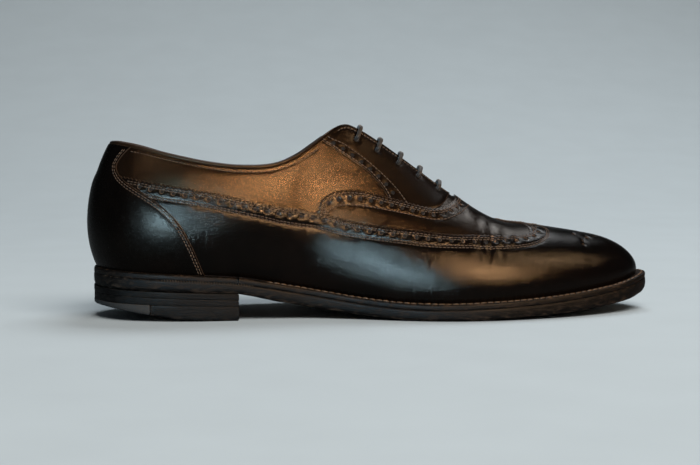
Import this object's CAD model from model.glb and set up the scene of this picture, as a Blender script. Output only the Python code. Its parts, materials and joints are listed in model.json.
"""Left brogue oxford shoe: leathers, threads, laces, sole and heel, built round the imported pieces.

Lengths are millimetres in the design's own frame: x runs from the heel to the toe, the medial
side lies at -y and the lateral side at +y, z is up. to_world() turns them into metres in the
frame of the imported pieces.

The upper is one lofted surface. A place on it is a row [side, s, t]: side is -1 medial or
1 lateral, s runs from the toe tip (0) round that side to the heel (16), and t from the feather
edge (0) to the ridge, facing edge or topline (1). An array of such rows is a path or an outline.
"""
import json
import math
import bpy
import numpy as np
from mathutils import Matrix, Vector
from mathutils.geometry import delaunay_2d_cdt

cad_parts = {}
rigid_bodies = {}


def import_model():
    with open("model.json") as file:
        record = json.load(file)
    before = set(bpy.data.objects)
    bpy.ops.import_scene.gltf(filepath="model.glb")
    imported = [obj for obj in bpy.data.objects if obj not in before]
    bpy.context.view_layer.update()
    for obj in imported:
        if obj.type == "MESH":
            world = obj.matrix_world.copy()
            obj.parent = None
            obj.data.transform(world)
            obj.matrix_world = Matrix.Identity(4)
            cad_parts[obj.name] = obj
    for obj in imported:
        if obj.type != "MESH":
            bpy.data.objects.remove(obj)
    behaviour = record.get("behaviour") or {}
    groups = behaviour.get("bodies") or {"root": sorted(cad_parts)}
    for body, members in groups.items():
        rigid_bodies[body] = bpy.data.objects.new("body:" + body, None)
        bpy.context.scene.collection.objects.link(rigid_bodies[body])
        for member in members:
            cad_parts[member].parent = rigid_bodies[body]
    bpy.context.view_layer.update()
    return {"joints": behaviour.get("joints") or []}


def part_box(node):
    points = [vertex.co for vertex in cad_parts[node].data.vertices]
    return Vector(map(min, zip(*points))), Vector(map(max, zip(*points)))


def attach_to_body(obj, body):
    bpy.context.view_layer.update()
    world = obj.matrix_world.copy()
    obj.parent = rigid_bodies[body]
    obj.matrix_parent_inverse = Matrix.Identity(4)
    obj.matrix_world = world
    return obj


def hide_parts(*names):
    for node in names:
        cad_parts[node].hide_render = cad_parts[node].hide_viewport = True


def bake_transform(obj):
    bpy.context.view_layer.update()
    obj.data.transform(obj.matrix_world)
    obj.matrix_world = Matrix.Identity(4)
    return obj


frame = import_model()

RNG = np.random.default_rng(7)

SIDE, S, T = 0, 1, 2          # columns of a row
HEEL = 16                     # s at the back of the heel
RIDGE_END = 6.5               # the two sides meet over the ridge where s is less
SIDE_NAME = {-1: "medial", 1: "lateral"}

# ---------------------------------------------------------------- surface tables
# feather edge in plan: s, x, y medial, y lateral
BASE = np.array([
    [0, 299.5, -1.5, -1.5], [1, 296.8, -9, 6.5], [2, 288.5, -17, 17], [3, 275, -25, 28],
    [4, 256, -33, 39], [5, 234, -39.5, 47], [6, 210, -43.5, 51], [7, 186, -43, 50.5],
    [8, 162, -38, 46.5], [9, 138, -30.5, 41], [10, 114, -26, 36.5], [11, 88, -28, 34.5],
    [12, 62, -31, 34], [13, 36, -30.5, 31.5], [14, 15, -24, 24.5], [15, 4, -12.5, 12.5],
    [16, 0.8, 0, 0]], float)
# feather edge in height: x, z
FEATHER = np.array([
    [-6, 27.2], [0, 27], [20, 26], [40, 25], [60, 23.8], [77, 22.4], [90, 20.4], [105, 17.6],
    [122, 14.6], [141, 11.6], [160, 9.7], [177, 9], [192, 9.1], [206, 9.6], [223, 10.3],
    [245, 11.6], [266, 13.6], [280, 15.4], [290, 17.2], [300, 19.8], [308, 22]], float)
# ridge, facing edge and topline: s, x, y medial, y lateral, z medial, z lateral
TOP = np.array([
    [0, 262, -4, -4, 42.6, 42.6], [1, 258, -4.1, -4.1, 43.3, 43.3],
    [2, 251, -4.3, -4.3, 44.6, 44.6], [3, 242, -4.6, -4.6, 46.1, 46.1],
    [4, 231, -5, -5, 48.2, 48.2], [5, 219, -5, -5, 50.4, 50.4],
    [6, 206, -5, -5, 57.6, 57.6], [6.5, 198, -5, -5, 63.2, 63.2],
    [7, 190, -5.9, -3.5, 68.6, 68.4], [8, 171, -7, -2, 82.6, 82.2],
    [9, 151, -7.6, -0.6, 96.4, 95.8], [9.6, 139.5, -8.4, 0.6, 102.6, 102],
    [9.85, 134, -9.4, 1.8, 104, 103.4], [10.1, 128.5, -11.6, 4.2, 101.4, 100.8],
    [10.4, 120.5, -16, 9, 95.9, 95], [10.8, 109, -22.6, 16.6, 88, 86.4],
    [11.2, 97, -26.6, 22.4, 83.4, 80.8], [11.8, 80, -29, 26.6, 82.2, 78.6],
    [12.5, 62, -29, 28, 84, 80.6], [13.2, 45, -27, 27, 87.4, 85],
    [14, 26, -20.5, 20.8, 91.9, 91], [15, 12.6, -9.8, 9.8, 94.4, 94.2],
    [16, 8, 0, 0, 94.6, 94.6]], float)
# inner control points of the wall: s, then mm outwards and share of the height for the first,
# and share of the way in to the top, mm outwards and share of the height for the second and third
WALL = np.array([
    [0, 2.5, .30, .15, 1, .72, .55, 0, .98], [2, 2.8, .30, .14, 1, .74, .55, 0, .99],
    [4, 3.2, .30, .12, 1, .78, .56, 0, 1], [5, 3.4, .30, .12, 1, .78, .56, 0, 1],
    [6, 3.6, .28, .14, 1.5, .72, .56, 0, .98], [7, 4, .25, .16, 2, .64, .58, 0, .94],
    [8, 4.5, .23, .18, 3.5, .58, .60, 1, .90], [9, 5.5, .21, .20, 6, .52, .62, 3, .86],
    [10, 6.5, .20, .22, 8.5, .50, .66, 4.5, .83], [11, 6.5, .20, .26, 8, .50, .72, 5, .80],
    [12, 6, .20, .30, 6.5, .50, .76, 4.5, .78], [13, 6, .20, .36, 7.5, .48, .78, 5, .78],
    [14, 6, .20, .42, 9, .47, .78, 6, .78], [15, 6.3, .21, .48, 10.5, .46, .80, 6.8, .785],
    [16, 6.5, .21, .50, 11.2, .46, .80, 7, .785]], float)
# how far the sole edge stands out from the feather edge: s, mm
EDGE = np.array([[0, 6.4], [4, 6.2], [6, 6], [8, 5.5], [9, 5], [10, 4.8], [11, 4], [12, 2.6],
                 [14, 2.2], [16, 2]], float)
# undersides of the outsole, the two heel lifts and the top piece: x, z
TREAD = np.array([[-12, 17.6], [0, 17.2], [40, 15.7], [75, 14.3], [84, 12.6], [96, 9.8],
                  [115, 6.2], [134, 3.2], [153, 1.2], [166, .3], [177, 0], [197, 0], [216, .8],
                  [234, 1.6], [246, 2.2], [262, 3.3], [279, 5.1], [292, 7], [301, 8.9],
                  [312, 12]], float)
LIFT_UPPER = np.array([[-12, 14.2], [0, 13.9], [80, 10.8]], float)
LIFT_LOWER = np.array([[-12, 10.1], [0, 9.8], [80, 7.4]], float)
GROUND = np.array([[-12, 7.9], [-2, 7.5], [5, 7], [18, 5.2], [29, 3.5], [41, 1.6], [54, 0],
                   [90, 0]], float)


# ---------------------------------------------------------------- surface
def unit(vectors):
    length = np.linalg.norm(vectors, axis=-1, keepdims=True)
    return vectors / np.maximum(length, 1e-9)


def smooth(x, start, end):
    frac = np.clip((np.asarray(x, float) - start) / (end - start), 0, 1)
    return frac * frac * (3 - 2 * frac)


def curve(table, x):
    """Smooth curve through a table's rows, its first column being x: (n, columns)."""
    x = np.clip(np.atleast_1d(np.asarray(x, float)), table[0, 0], table[-1, 0])
    knots = table[:, 0]
    slope = (table[1:] - table[:-1]) / (knots[1:] - knots[:-1])[:, None]
    tangent = np.empty_like(table)
    tangent[0], tangent[-1] = slope[0], slope[-1]
    before, after = (knots[1:-1] - knots[:-2])[:, None], (knots[2:] - knots[1:-1])[:, None]
    tangent[1:-1] = (slope[:-1] * after + slope[1:] * before) / (before + after)
    i = np.clip(np.searchsorted(knots, x, side="right") - 1, 0, len(knots) - 2)
    span = knots[i + 1] - knots[i]
    u = ((x - knots[i]) / span)[:, None]
    span = span[:, None]
    return (table[i] * (2*u**3 - 3*u**2 + 1) + tangent[i] * span * (u**3 - 2*u**2 + u)
            + table[i+1] * (3*u**2 - 2*u**3) + tangent[i+1] * span * (u**3 - u**2))


def feather_z(x):
    return curve(FEATHER, x)[:, 1]


def edge_d(s):
    return curve(EDGE, s)[:, 1]


def _base_rows(side):
    """Feather edge of one side (s, x, y), carried on to the other side at toe and heel."""
    own = 2 if side < 0 else 3
    other = 5 - own
    last = len(BASE) - 1
    return np.array([[-i, BASE[i][1], BASE[i][other]] for i in (2, 1)]
                    + [[row[0], row[1], row[own]] for row in BASE]
                    + [[HEEL + i, BASE[last-i][1], BASE[last-i][other]] for i in (1, 2)], float)


BASE_ROWS = {side: _base_rows(side) for side in (-1, 1)}
TOP_ROWS = {-1: np.vstack([TOP[:, [0, 1, 2, 4]], [[17, 12.6, 9.8, 94.2]]]),
            1: np.vstack([TOP[:, [0, 1, 3, 5]], [[17, 12.6, -9.8, 94.4]]])}


def base_xy(side, s):
    return curve(BASE_ROWS[side], s)[:, 1:]


def base_out(side, s):
    """Unit vectors in plan, pointing out from the feather edge."""
    s = np.atleast_1d(np.asarray(s, float))
    travel = unit(base_xy(side, s + .01) - base_xy(side, s - .01))
    return np.c_[travel[:, 1], -travel[:, 0]] * side


def _walls(side, s):
    """Five control points of the wall at each s."""
    foot, out = base_xy(side, s), base_out(side, s)
    foot_z = feather_z(foot[:, 0])[:, None]
    top = curve(TOP_ROWS[side], np.maximum(s, 0))
    top_xy, top_z = top[:, 1:3], top[:, 3:4]
    rise = top_z - foot_z
    (_, out_1, rise_1, lean_2, out_2, rise_2, lean_3, out_3,
     rise_3) = curve(WALL, np.clip(s, 0, HEEL)).T[..., None]
    second = foot * (1 - lean_2) + top_xy * lean_2 + out * out_2
    third = foot * (1 - lean_3) + top_xy * lean_3 + out * out_3
    return np.stack([np.hstack([foot, foot_z]),
                     np.hstack([foot + out * out_1, foot_z + rise_1 * rise]),
                     np.hstack([second, foot_z + rise_2 * rise]),
                     np.hstack([third, foot_z + rise_3 * rise]),
                     np.hstack([top_xy, top_z])], 1)


PER_S = 4                     # wall stations to one unit of s
STATIONS = np.arange(-1, HEEL * PER_S + 2) / PER_S
WALLS = np.stack([_walls(-1, STATIONS), _walls(1, STATIONS)])


def _locate(side, s, t):
    side, s, t = np.broadcast_arrays(np.asarray(side), np.asarray(s, float),
                                     np.asarray(t, float))
    shape = s.shape
    side, s, t = side.ravel(), np.clip(s.ravel(), 0, HEEL), t.ravel()
    station = np.minimum(np.floor(s * PER_S).astype(int), HEEL * PER_S - 1)
    return shape, side, s, t, station, s * PER_S - station


def _loft(side, station, along, upward):
    """Sum of the control points, weighted along s (four stations) and along t (five points)."""
    wall = (side > 0).astype(int)
    control = sum(along[:, j, None, None] * WALLS[wall, station + j] for j in range(4))
    return np.einsum("nb,nbc->nc", upward, control)


def _along(u):
    return np.stack([-u/2 + u*u - u**3/2, 1 - 2.5*u*u + 1.5*u**3, u/2 + 2*u*u - 1.5*u**3,
                     (u**3 - u*u)/2], 1)


def _upward(t):
    v = 1 - t
    return np.stack([v**4, 4*v**3*t, 6*v*v*t*t, 4*v*t**3, t**4], 1)


def surface(side, s, t):
    shape, side, s, t, station, u = _locate(side, s, t)
    return _loft(side, station, _along(u), _upward(t)).reshape(shape + (3,))


def normal(side, s, t):
    """Unit normals of the surface, pointing out of the shoe."""
    shape, side, s, t, station, u = _locate(side, s, t)
    t = np.clip(t, .002, .998)
    v = 1 - t
    along_slope = np.stack([-.5 + 2*u - 1.5*u*u, -5*u + 4.5*u*u, .5 + 4*u - 4.5*u*u,
                            1.5*u*u - u], 1)
    upward_slope = np.stack([-4*v**3, 4*v**3 - 12*v*v*t, 12*v*v*t - 12*v*t*t,
                             12*v*t*t - 4*t**3, 4*t**3], 1)
    by_t = _loft(side, station, _along(u), upward_slope)
    by_s = _loft(side, station, along_slope, _upward(t))
    out = np.cross(by_s, by_t) * side[:, None]
    tip = s < .05
    out[tip] = np.c_[by_t[tip, 2], np.zeros(tip.sum()), -by_t[tip, 0]]
    return unit(out).reshape(shape + (3,))


def point(rows):
    return surface(rows[..., SIDE], rows[..., S], rows[..., T])


def outward(rows):
    return normal(rows[..., SIDE], rows[..., S], rows[..., T])


# The design's frame is set by the sole edge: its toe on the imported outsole, its lateral side
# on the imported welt.
_s = np.linspace(0, HEEL, 641)
_edges = [base_xy(side, _s) + base_out(side, _s) * edge_d(_s)[:, None] for side in (-1, 1)]
ORIGIN_X = max(e[:, 0].max() for e in _edges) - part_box("outsole_forepart")[1].x * 1000
ORIGIN_Y = _edges[1][:, 1].max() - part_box("welt")[1].y * 1000
ORIGIN = np.array([ORIGIN_X, ORIGIN_Y, 0.0])


def to_world(points):
    return (np.asarray(points, float) - ORIGIN) / 1000.0


# ---------------------------------------------------------------- blends across the joints
HINGE_RISE_M = 0.018                                    # height over which a facing follows
DIP_X, DIP_RUN = 88, 36                                 # nothing follows behind the dip


def ride_root(obj):
    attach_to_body(obj, "root")


def flex_blend(obj):
    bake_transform(obj)


def facing_joint(side):
    child = "facing_" + SIDE_NAME[side]
    return next(joint for joint in frame["joints"] if joint["child"] == child)


def facing_weight(points, side):
    """How far points (metres) follow a facing: none below the hinge or behind the dip."""
    joint = facing_joint(side)
    axis = np.array(joint["axis"], float)
    axis /= np.linalg.norm(axis)
    arm = points - np.array(joint["pos_m"], float)
    arm = arm - (arm @ axis)[:, None] * axis
    ahead = (points[:, 0] * 1000 + ORIGIN_X - DIP_X) / DIP_RUN
    return smooth(arm[:, 2] / HINGE_RISE_M, 0, 1) * smooth(ahead, 0, 1)


def facing_blend(obj, side, weights=None):
    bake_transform(obj)
    if weights is None:
        coords = np.empty(len(obj.data.vertices) * 3, np.float32)
        obj.data.vertices.foreach_get("co", coords)
        weights = facing_weight(coords.reshape(-1, 3).astype(float), side)


# ---------------------------------------------------------------- paths
def make_object(name, verts, faces, mats, face_mats=None, sharp_deg=42, wear=None):
    """Mesh object from points in design millimetres; wear (0 to 1) drives the worn colour."""
    mesh = bpy.data.meshes.new(name)
    mesh.from_pydata([tuple(v) for v in to_world(verts)], [],
                     [tuple(int(i) for i in f) for f in faces])
    for mat in mats:
        mesh.materials.append(mat)
    if face_mats is not None:
        mesh.polygons.foreach_set("material_index", np.asarray(face_mats, np.int32))
    mesh.polygons.foreach_set("use_smooth", np.ones(len(mesh.polygons), bool))
    if wear is not None:
        attribute = mesh.attributes.new("wear", "FLOAT", "POINT")
        attribute.data.foreach_set("value", np.asarray(wear, np.float32))
    mesh.validate()
    mesh.update()
    if sharp_deg is not None:
        mesh.set_sharp_from_angle(angle=math.radians(sharp_deg))
    obj = bpy.data.objects.new(name, mesh)
    bpy.context.scene.collection.objects.link(obj)
    return obj


def equal_steps(points, step=1.0, count=None):
    """Fractional indices that part a polyline into equal steps."""
    dist = np.r_[0, np.cumsum(np.linalg.norm(np.diff(points, axis=0), axis=1))]
    count = count or max(1, int(round(dist[-1] / step)))
    return np.interp(np.linspace(0, dist[-1], count + 1), dist, np.arange(len(points)))


def take(values, index):
    """Entries of an array at fractional indices."""
    i = np.clip(np.floor(index).astype(int), 0, len(values) - 2)
    frac = (index - i)[:, None]
    return values[i] * (1 - frac) + values[i + 1] * frac


def even_points(points, step):
    return take(points, equal_steps(points, step))


def nearer_side(rows):
    """Rows interpolated between two sides are given to the nearer one."""
    rows[:, SIDE] = np.where(rows[:, SIDE] < 0, -1, 1)
    return rows


def even(rows, step=1.0, count=None):
    return nearer_side(take(rows, equal_steps(point(rows), step, count)))


def catmull_rom(points, steps):
    """Curve through all points but the first and last, which only set the end directions."""
    u = np.linspace(0, 1, steps, endpoint=False)[:, None]
    out = []
    for i in range(1, len(points) - 2):
        p0, p1, p2, p3 = points[i-1:i+3]
        out.append(.5 * (2*p1 + (p2 - p0)*u + (2*p0 - 5*p1 + 4*p2 - p3)*u*u
                         + (3*p1 - p0 - 3*p2 + p3)*u**3))
    return np.vstack(out + [points[-2][None]])


def line(side, places):
    """Path on one side through (s, t) places."""
    rows = np.array([(side, s, t) for s, t in places], float)
    return catmull_rom(np.vstack([2 * rows[0] - rows[1], rows, 2 * rows[-1] - rows[-2]]), 24)


def both(places):
    """The same line on both sides, from the medial start over the ridge to the lateral one."""
    return np.vstack([line(-1, places), line(1, places)[::-1]])


def path_len(rows):
    return np.linalg.norm(np.diff(point(rows), axis=0), axis=1).sum()


def tangents(rows):
    """Surface derivatives by s and by t."""
    side, s, t = rows.T
    s0, s1 = np.clip(s - 1e-3, 0, HEEL), np.clip(s + 1e-3, 0, HEEL)
    t0, t1 = np.clip(t - 1e-3, -.05, 1), np.clip(t + 1e-3, -.05, 1)
    by_s = (surface(side, s1, t) - surface(side, s0, t)) / (s1 - s0)[:, None]
    by_t = (surface(side, s, t1) - surface(side, s, t0)) / (t1 - t0)[:, None]
    return by_s, by_t


def solve(by_s, by_t, moves):
    """(ds, dt) for moves in millimetres along the surface."""
    ss, st, tt = (by_s * by_s).sum(1), (by_s * by_t).sum(1), (by_t * by_t).sum(1)
    on_s, on_t = (by_s * moves).sum(1), (by_t * moves).sum(1)
    det = np.maximum(ss * tt - st * st, 1e-6)
    return np.c_[(tt * on_s - st * on_t) / det, (ss * on_t - st * on_s) / det]


def cross_ridge(rows):
    """Rows pushed past the ridge come down on the other side."""
    over = (rows[:, T] > 1) & (rows[:, S] < RIDGE_END)
    rows[over, SIDE] *= -1
    rows[over, T] = 2 - rows[over, T]


def offset_path(rows, mm, closed=False):
    """Path moved sideways on the surface; positive is left of travel, seen from outside."""
    path = point(rows)
    if closed:
        travel = np.roll(path, -1, 0) - np.roll(path, 1, 0)
    else:
        travel = np.gradient(path, axis=0)
    left = unit(np.cross(outward(rows), unit(travel)))
    out = rows.copy()
    out[:, S:] += solve(*tangents(rows), left * mm)
    cross_ridge(out)
    out[out[:, T] > 1, T] = 1
    low = out[:, S] < 0
    out[low, SIDE] *= -1
    out[low, S] *= -1
    high = out[:, S] > HEEL
    out[high, SIDE] *= -1
    out[high, S] = 2 * HEEL - out[high, S]
    return out


def offset_by_mean(rows, mm, raise_s):
    """Path moved mm to the left, or to the right where the mean s goes the wrong way."""
    steps = even(rows, .8)
    moved = offset_path(steps, mm)
    lower = moved[:, S].mean() < rows[:, S].mean()
    return offset_path(steps, -mm) if lower == raise_s else moved


# ---------------------------------------------------------------- flat domains and point sets
ARC = {side: np.linalg.norm(np.diff(surface(side, STATIONS[1:-1, None].clip(0, HEEL),
                                            np.linspace(0, 1, 41)[None]), axis=1),
                            axis=2).sum(1)
       for side in (-1, 1)}


def dom_plan(rows):
    """Seen from above and opened out, for pieces that cross the ridge."""
    out = np.empty((len(rows), 2))
    for side in (-1, 1):
        own = rows[:, SIDE] == side
        if not own.any():
            continue
        s, t = rows[own, S], rows[own, T]
        top = curve(TOP_ROWS[side], s)[:, 1:3]
        arc = np.interp(s, STATIONS[1:-1].clip(0, HEEL), ARC[side])
        share = smooth(s, 5.5, 8.5)[:, None]
        away = unit(base_out(side, s) * (1 - share) + np.array([0.0, side]) * share)
        out[own] = top + away * ((1 - t) * arc)[:, None]
    return out


def dom_side(rows):
    """Both sides rolled out flat and joined at the heel."""
    lap = np.where(rows[:, SIDE] < 0, rows[:, S], 2 * HEEL - rows[:, S])
    return np.c_[lap * 20, rows[:, T] * 75]


def inside(points, polygon):
    x, y = points[:, 0], points[:, 1]
    mask = np.zeros(len(points), bool)
    for (x0, y0), (x1, y1) in zip(polygon, np.roll(polygon, -1, 0)):
        if y0 == y1:
            continue
        crosses = (y0 > y) != (y1 > y)
        mask ^= crosses & (x < (x1 - x0) * (y - y0) / (y1 - y0) + x0)
    return mask


def near(points, others, reach):
    """Mask of the points nearer than reach to any of the others."""
    buckets = {}
    for k, cell in enumerate(np.floor(others / reach).astype(int)):
        buckets.setdefault(tuple(cell), []).append(k)

    def is_near(x, y):
        i, j = math.floor(x / reach), math.floor(y / reach)
        return any((x - others[k, 0])**2 + (y - others[k, 1])**2 < reach * reach
                   for di in (-1, 0, 1) for dj in (-1, 0, 1)
                   for k in buckets.get((i + di, j + dj), ()))
    return np.array([is_near(x, y) for x, y in points], bool)


def triangulate(points, loops):
    """Delaunay triangles that keep the closed loops: points, triangles, sources of each point."""
    edges = [(a, b) for loop in loops for a, b in zip(loop, loop[1:] + loop[:1])]
    verts, _, faces, sources, _, _ = delaunay_2d_cdt([Vector(p) for p in points], edges, [], 0,
                                                     1e-6, True)
    return np.array([[v.x, v.y] for v in verts]), [f for f in faces if len(f) == 3], sources


def grid_rows(side, s0, s1, t0, t1, step):
    """Evenly spaced rows over part of one side, every other line shifted by half a step."""
    out = []
    lines = max(2, int(round((t1 - t0) * 72 / step)))
    s = np.linspace(s0, s1, 400)
    for k, t in enumerate(np.linspace(t0, t1, lines + 1)):
        places = np.interp(equal_steps(surface(side, s, t), step), np.arange(400), s)
        if k % 2:
            places = (places[1:] + places[:-1]) / 2
        out.append(np.c_[np.full(len(places), side), places, np.full(len(places), t)])
    return np.vstack(out)


def find_xy(x, y, near_row=None):
    """The row on the toe or vamp whose point stands over (x, y)."""
    least, most = np.array([0, .35]), np.array([7.0, 1.0])
    best = None
    for side in (-1, 1):
        lo, hi = least, most
        if near_row is not None:
            lo = np.maximum(lo, np.array(near_row[1:]) - [2.2, .22])
            hi = np.minimum(hi, np.array(near_row[1:]) + [2.2, .22])
        for _ in range(5):
            s, t = np.meshgrid(np.linspace(lo[0], hi[0], 21), np.linspace(lo[1], hi[1], 21),
                               indexing="ij")
            points = surface(side, s, t)
            dist = (points[..., 0] - x)**2 + (points[..., 1] - y)**2
            i, j = np.unravel_index(np.argmin(dist), dist.shape)
            centre, reach = np.array([s[i, j], t[i, j]]), (hi - lo) * .16
            lo, hi = np.maximum(centre - reach, least), np.minimum(centre + reach, most)
        if best is None or dist[i, j] < best[0]:
            best = (dist[i, j], (side, s[i, j], t[i, j]))
    return best[1]


def hole_loop(centre, radius):
    """Round loop of 12 rows on the surface."""
    angles = np.arange(12) * 2 * math.pi / 12
    if centre[S] < 3.3 and centre[T] > .55:
        p = surface(*centre)
        start = None if centre[T] > .9 else centre
        return np.array([find_xy(p[0] + radius * math.cos(a), p[1] + radius * math.sin(a), start)
                         for a in angles], float)
    rows = np.repeat(np.array(centre, float)[None], 12, 0)
    by_s, by_t = tangents(rows[:1])
    first = by_s[0] / np.linalg.norm(by_s[0])
    second = np.cross(outward(rows[:1])[0], first)
    moves = radius * (np.cos(angles)[:, None] * first + np.sin(angles)[:, None] * second)
    rows[:, S:] += solve(by_s, by_t, moves)
    cross_ridge(rows)
    return rows


def gimp(rows, depth=.9):
    """Pinked edge: fine teeth to the left of a path, at a pitch of about 2.3 mm."""
    teeth = max(2, int(round(path_len(rows) / 2.3)))
    steps = even(rows, count=teeth * 4)
    tooth = np.arange(len(steps)) % 4
    return offset_teeth(steps, np.choose(tooth, [0.0, .62 * depth, depth, .62 * depth]))


def offset_teeth(steps, depths):
    return offset_path(steps, depths[:, None])


# ---------------------------------------------------------------- cut leather pieces
EDGE_DROP, HOLE_DROP, RIM_DROP, LIP_DROP, GROOVE_DROP = .28, .16, .01, .04, .20
LIP_INSET, RIM_WIDTH, GROOVE_HALF = .7, .38, .62


def sheet_rows(outline, dom, holes, grooves, regions, step):
    """Rows of a sheet, their drops below its face, and the row numbers of its closed loops
    (the outline, then the holes)."""
    rows, drops, flat, loops = [], [], [], []

    def add(new, drop, is_loop=False):
        if is_loop:
            first = sum(len(r) for r in rows)
            loops.append(list(range(first, first + len(new))))
        rows.append(new)
        drops.append(np.full(len(new), float(drop)))
        flat.append(dom(new))
    add(outline, EDGE_DROP, True)
    polygon = flat[0]
    for centre, radius in holes:
        add(hole_loop(centre, radius), HOLE_DROP, True)
        add(hole_loop(centre, radius + RIM_WIDTH), RIM_DROP)
    # a line of rows just inside the cut edge
    left = offset_path(outline, LIP_INSET, closed=True)
    right = offset_path(outline, -LIP_INSET, closed=True)
    lip = np.where(inside(dom(left), polygon)[:, None], left, right)
    lip = lip[inside(dom(lip), polygon)]
    lip = lip[~near(dom(lip), polygon, .42)]
    if holes:
        lip = lip[~near(dom(lip), np.vstack(flat[1:]), .6)]
    add(lip, LIP_DROP)
    for groove in grooves:
        steps = even(groove, 1.15)
        for offset, drop in ((0, GROOVE_DROP), (GROOVE_HALF, 0), (-GROOVE_HALF, 0)):
            moved = offset_path(steps, offset) if offset else steps
            places = dom(moved)
            add(moved[inside(places, polygon) & ~near(places, np.vstack(flat), .5)], drop)
    fill = np.vstack([grid_rows(*region, step) for region in regions])
    fill = fill[inside(dom(fill), polygon)]
    fill = fill[~near(dom(fill), np.vstack(flat), step * .48)]
    # doubles where two sides meet are dropped
    _, first = np.unique(np.round(dom(fill) / .7).astype(int), axis=0, return_index=True)
    add(fill[np.sort(first)], 0)
    return np.vstack(rows), np.concatenate(drops), loops


def sheet_piece(node, mat, outline, dom, depth, thick, step, regions, attach, holes=(),
                grooves=(), crease=None, hole_depth=.75):
    """A leather piece over the surface with a cut edge, blind holes and stitch grooves.
    depth(rows) is how far its face lies below the surface; holes are (row, radius)."""
    rows, drops, loops = sheet_rows(outline, dom, holes, grooves, regions, step)
    flat = dom(rows)
    verts_2d, faces_2d, sources = triangulate(flat, loops)
    source = np.array([o[0] if len(o) else -1 for o in sources])
    for i in np.where(source < 0)[0]:
        source[i] = np.argmin(((flat - verts_2d[i])**2).sum(1))
    vertex_of = {a: i for i, o in enumerate(sources) for a in o}
    tri = np.array(faces_2d, int)
    centres = verts_2d[tri].mean(1)
    keep = inside(centres, flat[loops[0]])
    for loop in loops[1:]:
        keep &= ~inside(centres, flat[loop])
    tri = tri[keep]

    rows, drops = rows[source], drops[source]
    base, out, below = point(rows), outward(rows), depth(rows)
    face = base - out * (below + drops)[:, None]
    if crease is not None:
        face = face - out * crease(rows)[:, None]
    back = base - out * (below + thick)[:, None]
    turn = np.cross(face[tri[:, 1]] - face[tri[:, 0]], face[tri[:, 2]] - face[tri[:, 0]])
    if ((turn * out[tri].mean(1)).sum(1) < 0).mean() > .5:
        tri = tri[:, ::-1]

    n = len(face)
    verts = [face, back]
    faces = [tuple(f) for f in tri] + [(n + f[2], n + f[1], n + f[0]) for f in tri]
    face_mats = [0] * len(tri) + [1] * len(tri)
    wear = np.zeros(n)
    wear[[vertex_of[i] for i in loops[0] if i in vertex_of]] = 1
    directed = dict.fromkeys((f[i], f[(i + 1) % 3]) for f in tri for i in range(3))
    on_hole = {vertex_of.get(i) for loop in loops[1:] for i in loop}
    hole_next = {}
    for a, b in directed:
        if (b, a) in directed:
            continue
        if a in on_hole and b in on_hole:
            hole_next[a] = b
        else:
            faces.append((a, n + a, n + b, b))
            face_mats.append(2)

    total = 2 * n
    pocket_wear = []
    done = set()
    for (centre, _), indices in zip(holes, loops[1:]):
        start = vertex_of.get(indices[0])
        if start is None or start not in hole_next or start in done:
            continue
        loop = [start]
        while len(loop) <= 40:
            following = hole_next.get(loop[-1])
            if following is None or following == start:
                break
            loop.append(following)
        done.update(loop)
        row = np.array(centre, float)[None]
        up = outward(row)[0]
        middle = point(row)[0] - up * depth(row)[0]
        rim = face[loop]
        # pocket wall and floor, then a plug so that the back stays whole
        verts += [rim - up * (hole_depth * .72) + (middle - rim) * .10,
                  (middle - up * hole_depth)[None],
                  (middle - up * max(hole_depth + .28, thick))[None]]
        m = len(loop)
        for i in range(m):
            a, b, j = loop[i], loop[(i + 1) % m], (i + 1) % m
            faces += [(a, total + i, total + j, b), (total + i, total + m, total + j)]
            face_mats += [3, 3]
        for i in range(m):
            faces.append((n + loop[i], n + loop[(i + 1) % m], total + m + 1))
            face_mats.append(1)
        pocket_wear += [0] * m + [0, .5]
        total += m + 2
        wear[loop] = np.maximum(wear[loop], .50)
    mats = [MAT[mat], MAT["flesh"], MAT["edge"]] + ([MAT["punch"]] if holes else [])
    obj = make_object(node + "_leather", np.vstack(verts), faces, mats,
                      face_mats, sharp_deg=48,
                      wear=np.concatenate([wear, np.ones(n) * .5, pocket_wear]))
    attach(obj)
    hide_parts(node)


# ---------------------------------------------------------------- thread
STITCH_PITCH, STITCH_GAP = 2.05, .22    # mm, and the share of the pitch left open
# section along a thread capsule: share of the length, share of the radius, lift in radii
CAPSULE = [(0, .35, -.35), (.10, .85, -.05), (.5, 1.0, .12), (.90, .85, -.05), (1, .35, -.35)]


def thread_object(name, starts, stops, ups, mat, radius, flat, sides):
    """Many short thread capsules from starts to stops in one object; flat squashes them."""
    along = stops - starts
    length = np.linalg.norm(along, axis=1)
    along = along / length[:, None]
    across = unit(np.cross(along, ups))
    up = np.cross(across, along)
    verts = []
    for share, swell, lift in CAPSULE:
        centre = starts + along * (length * share)[:, None] + up * (lift * radius)
        for a in np.arange(sides) * 2 * math.pi / sides:
            verts.append(centre + (across * math.cos(a) + up * (math.sin(a) * flat))
                         * (swell * radius))
    verts = np.stack(verts, 1)
    last = (len(CAPSULE) - 1) * sides
    pattern = [((i+1)*sides + j, (i+1)*sides + (j+1) % sides, i*sides + (j+1) % sides,
                i*sides + j) for i in range(len(CAPSULE) - 1) for j in range(sides)]
    pattern.append(tuple(range(sides)))
    pattern.append(tuple(last + j for j in range(sides))[::-1])
    faces = [tuple(first + i for i in face)
             for first in range(0, verts.shape[0] * verts.shape[1], verts.shape[1])
             for face in pattern]
    return make_object(name, verts.reshape(-1, 3), faces, [MAT[mat]], sharp_deg=None)


seams = {}


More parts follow.
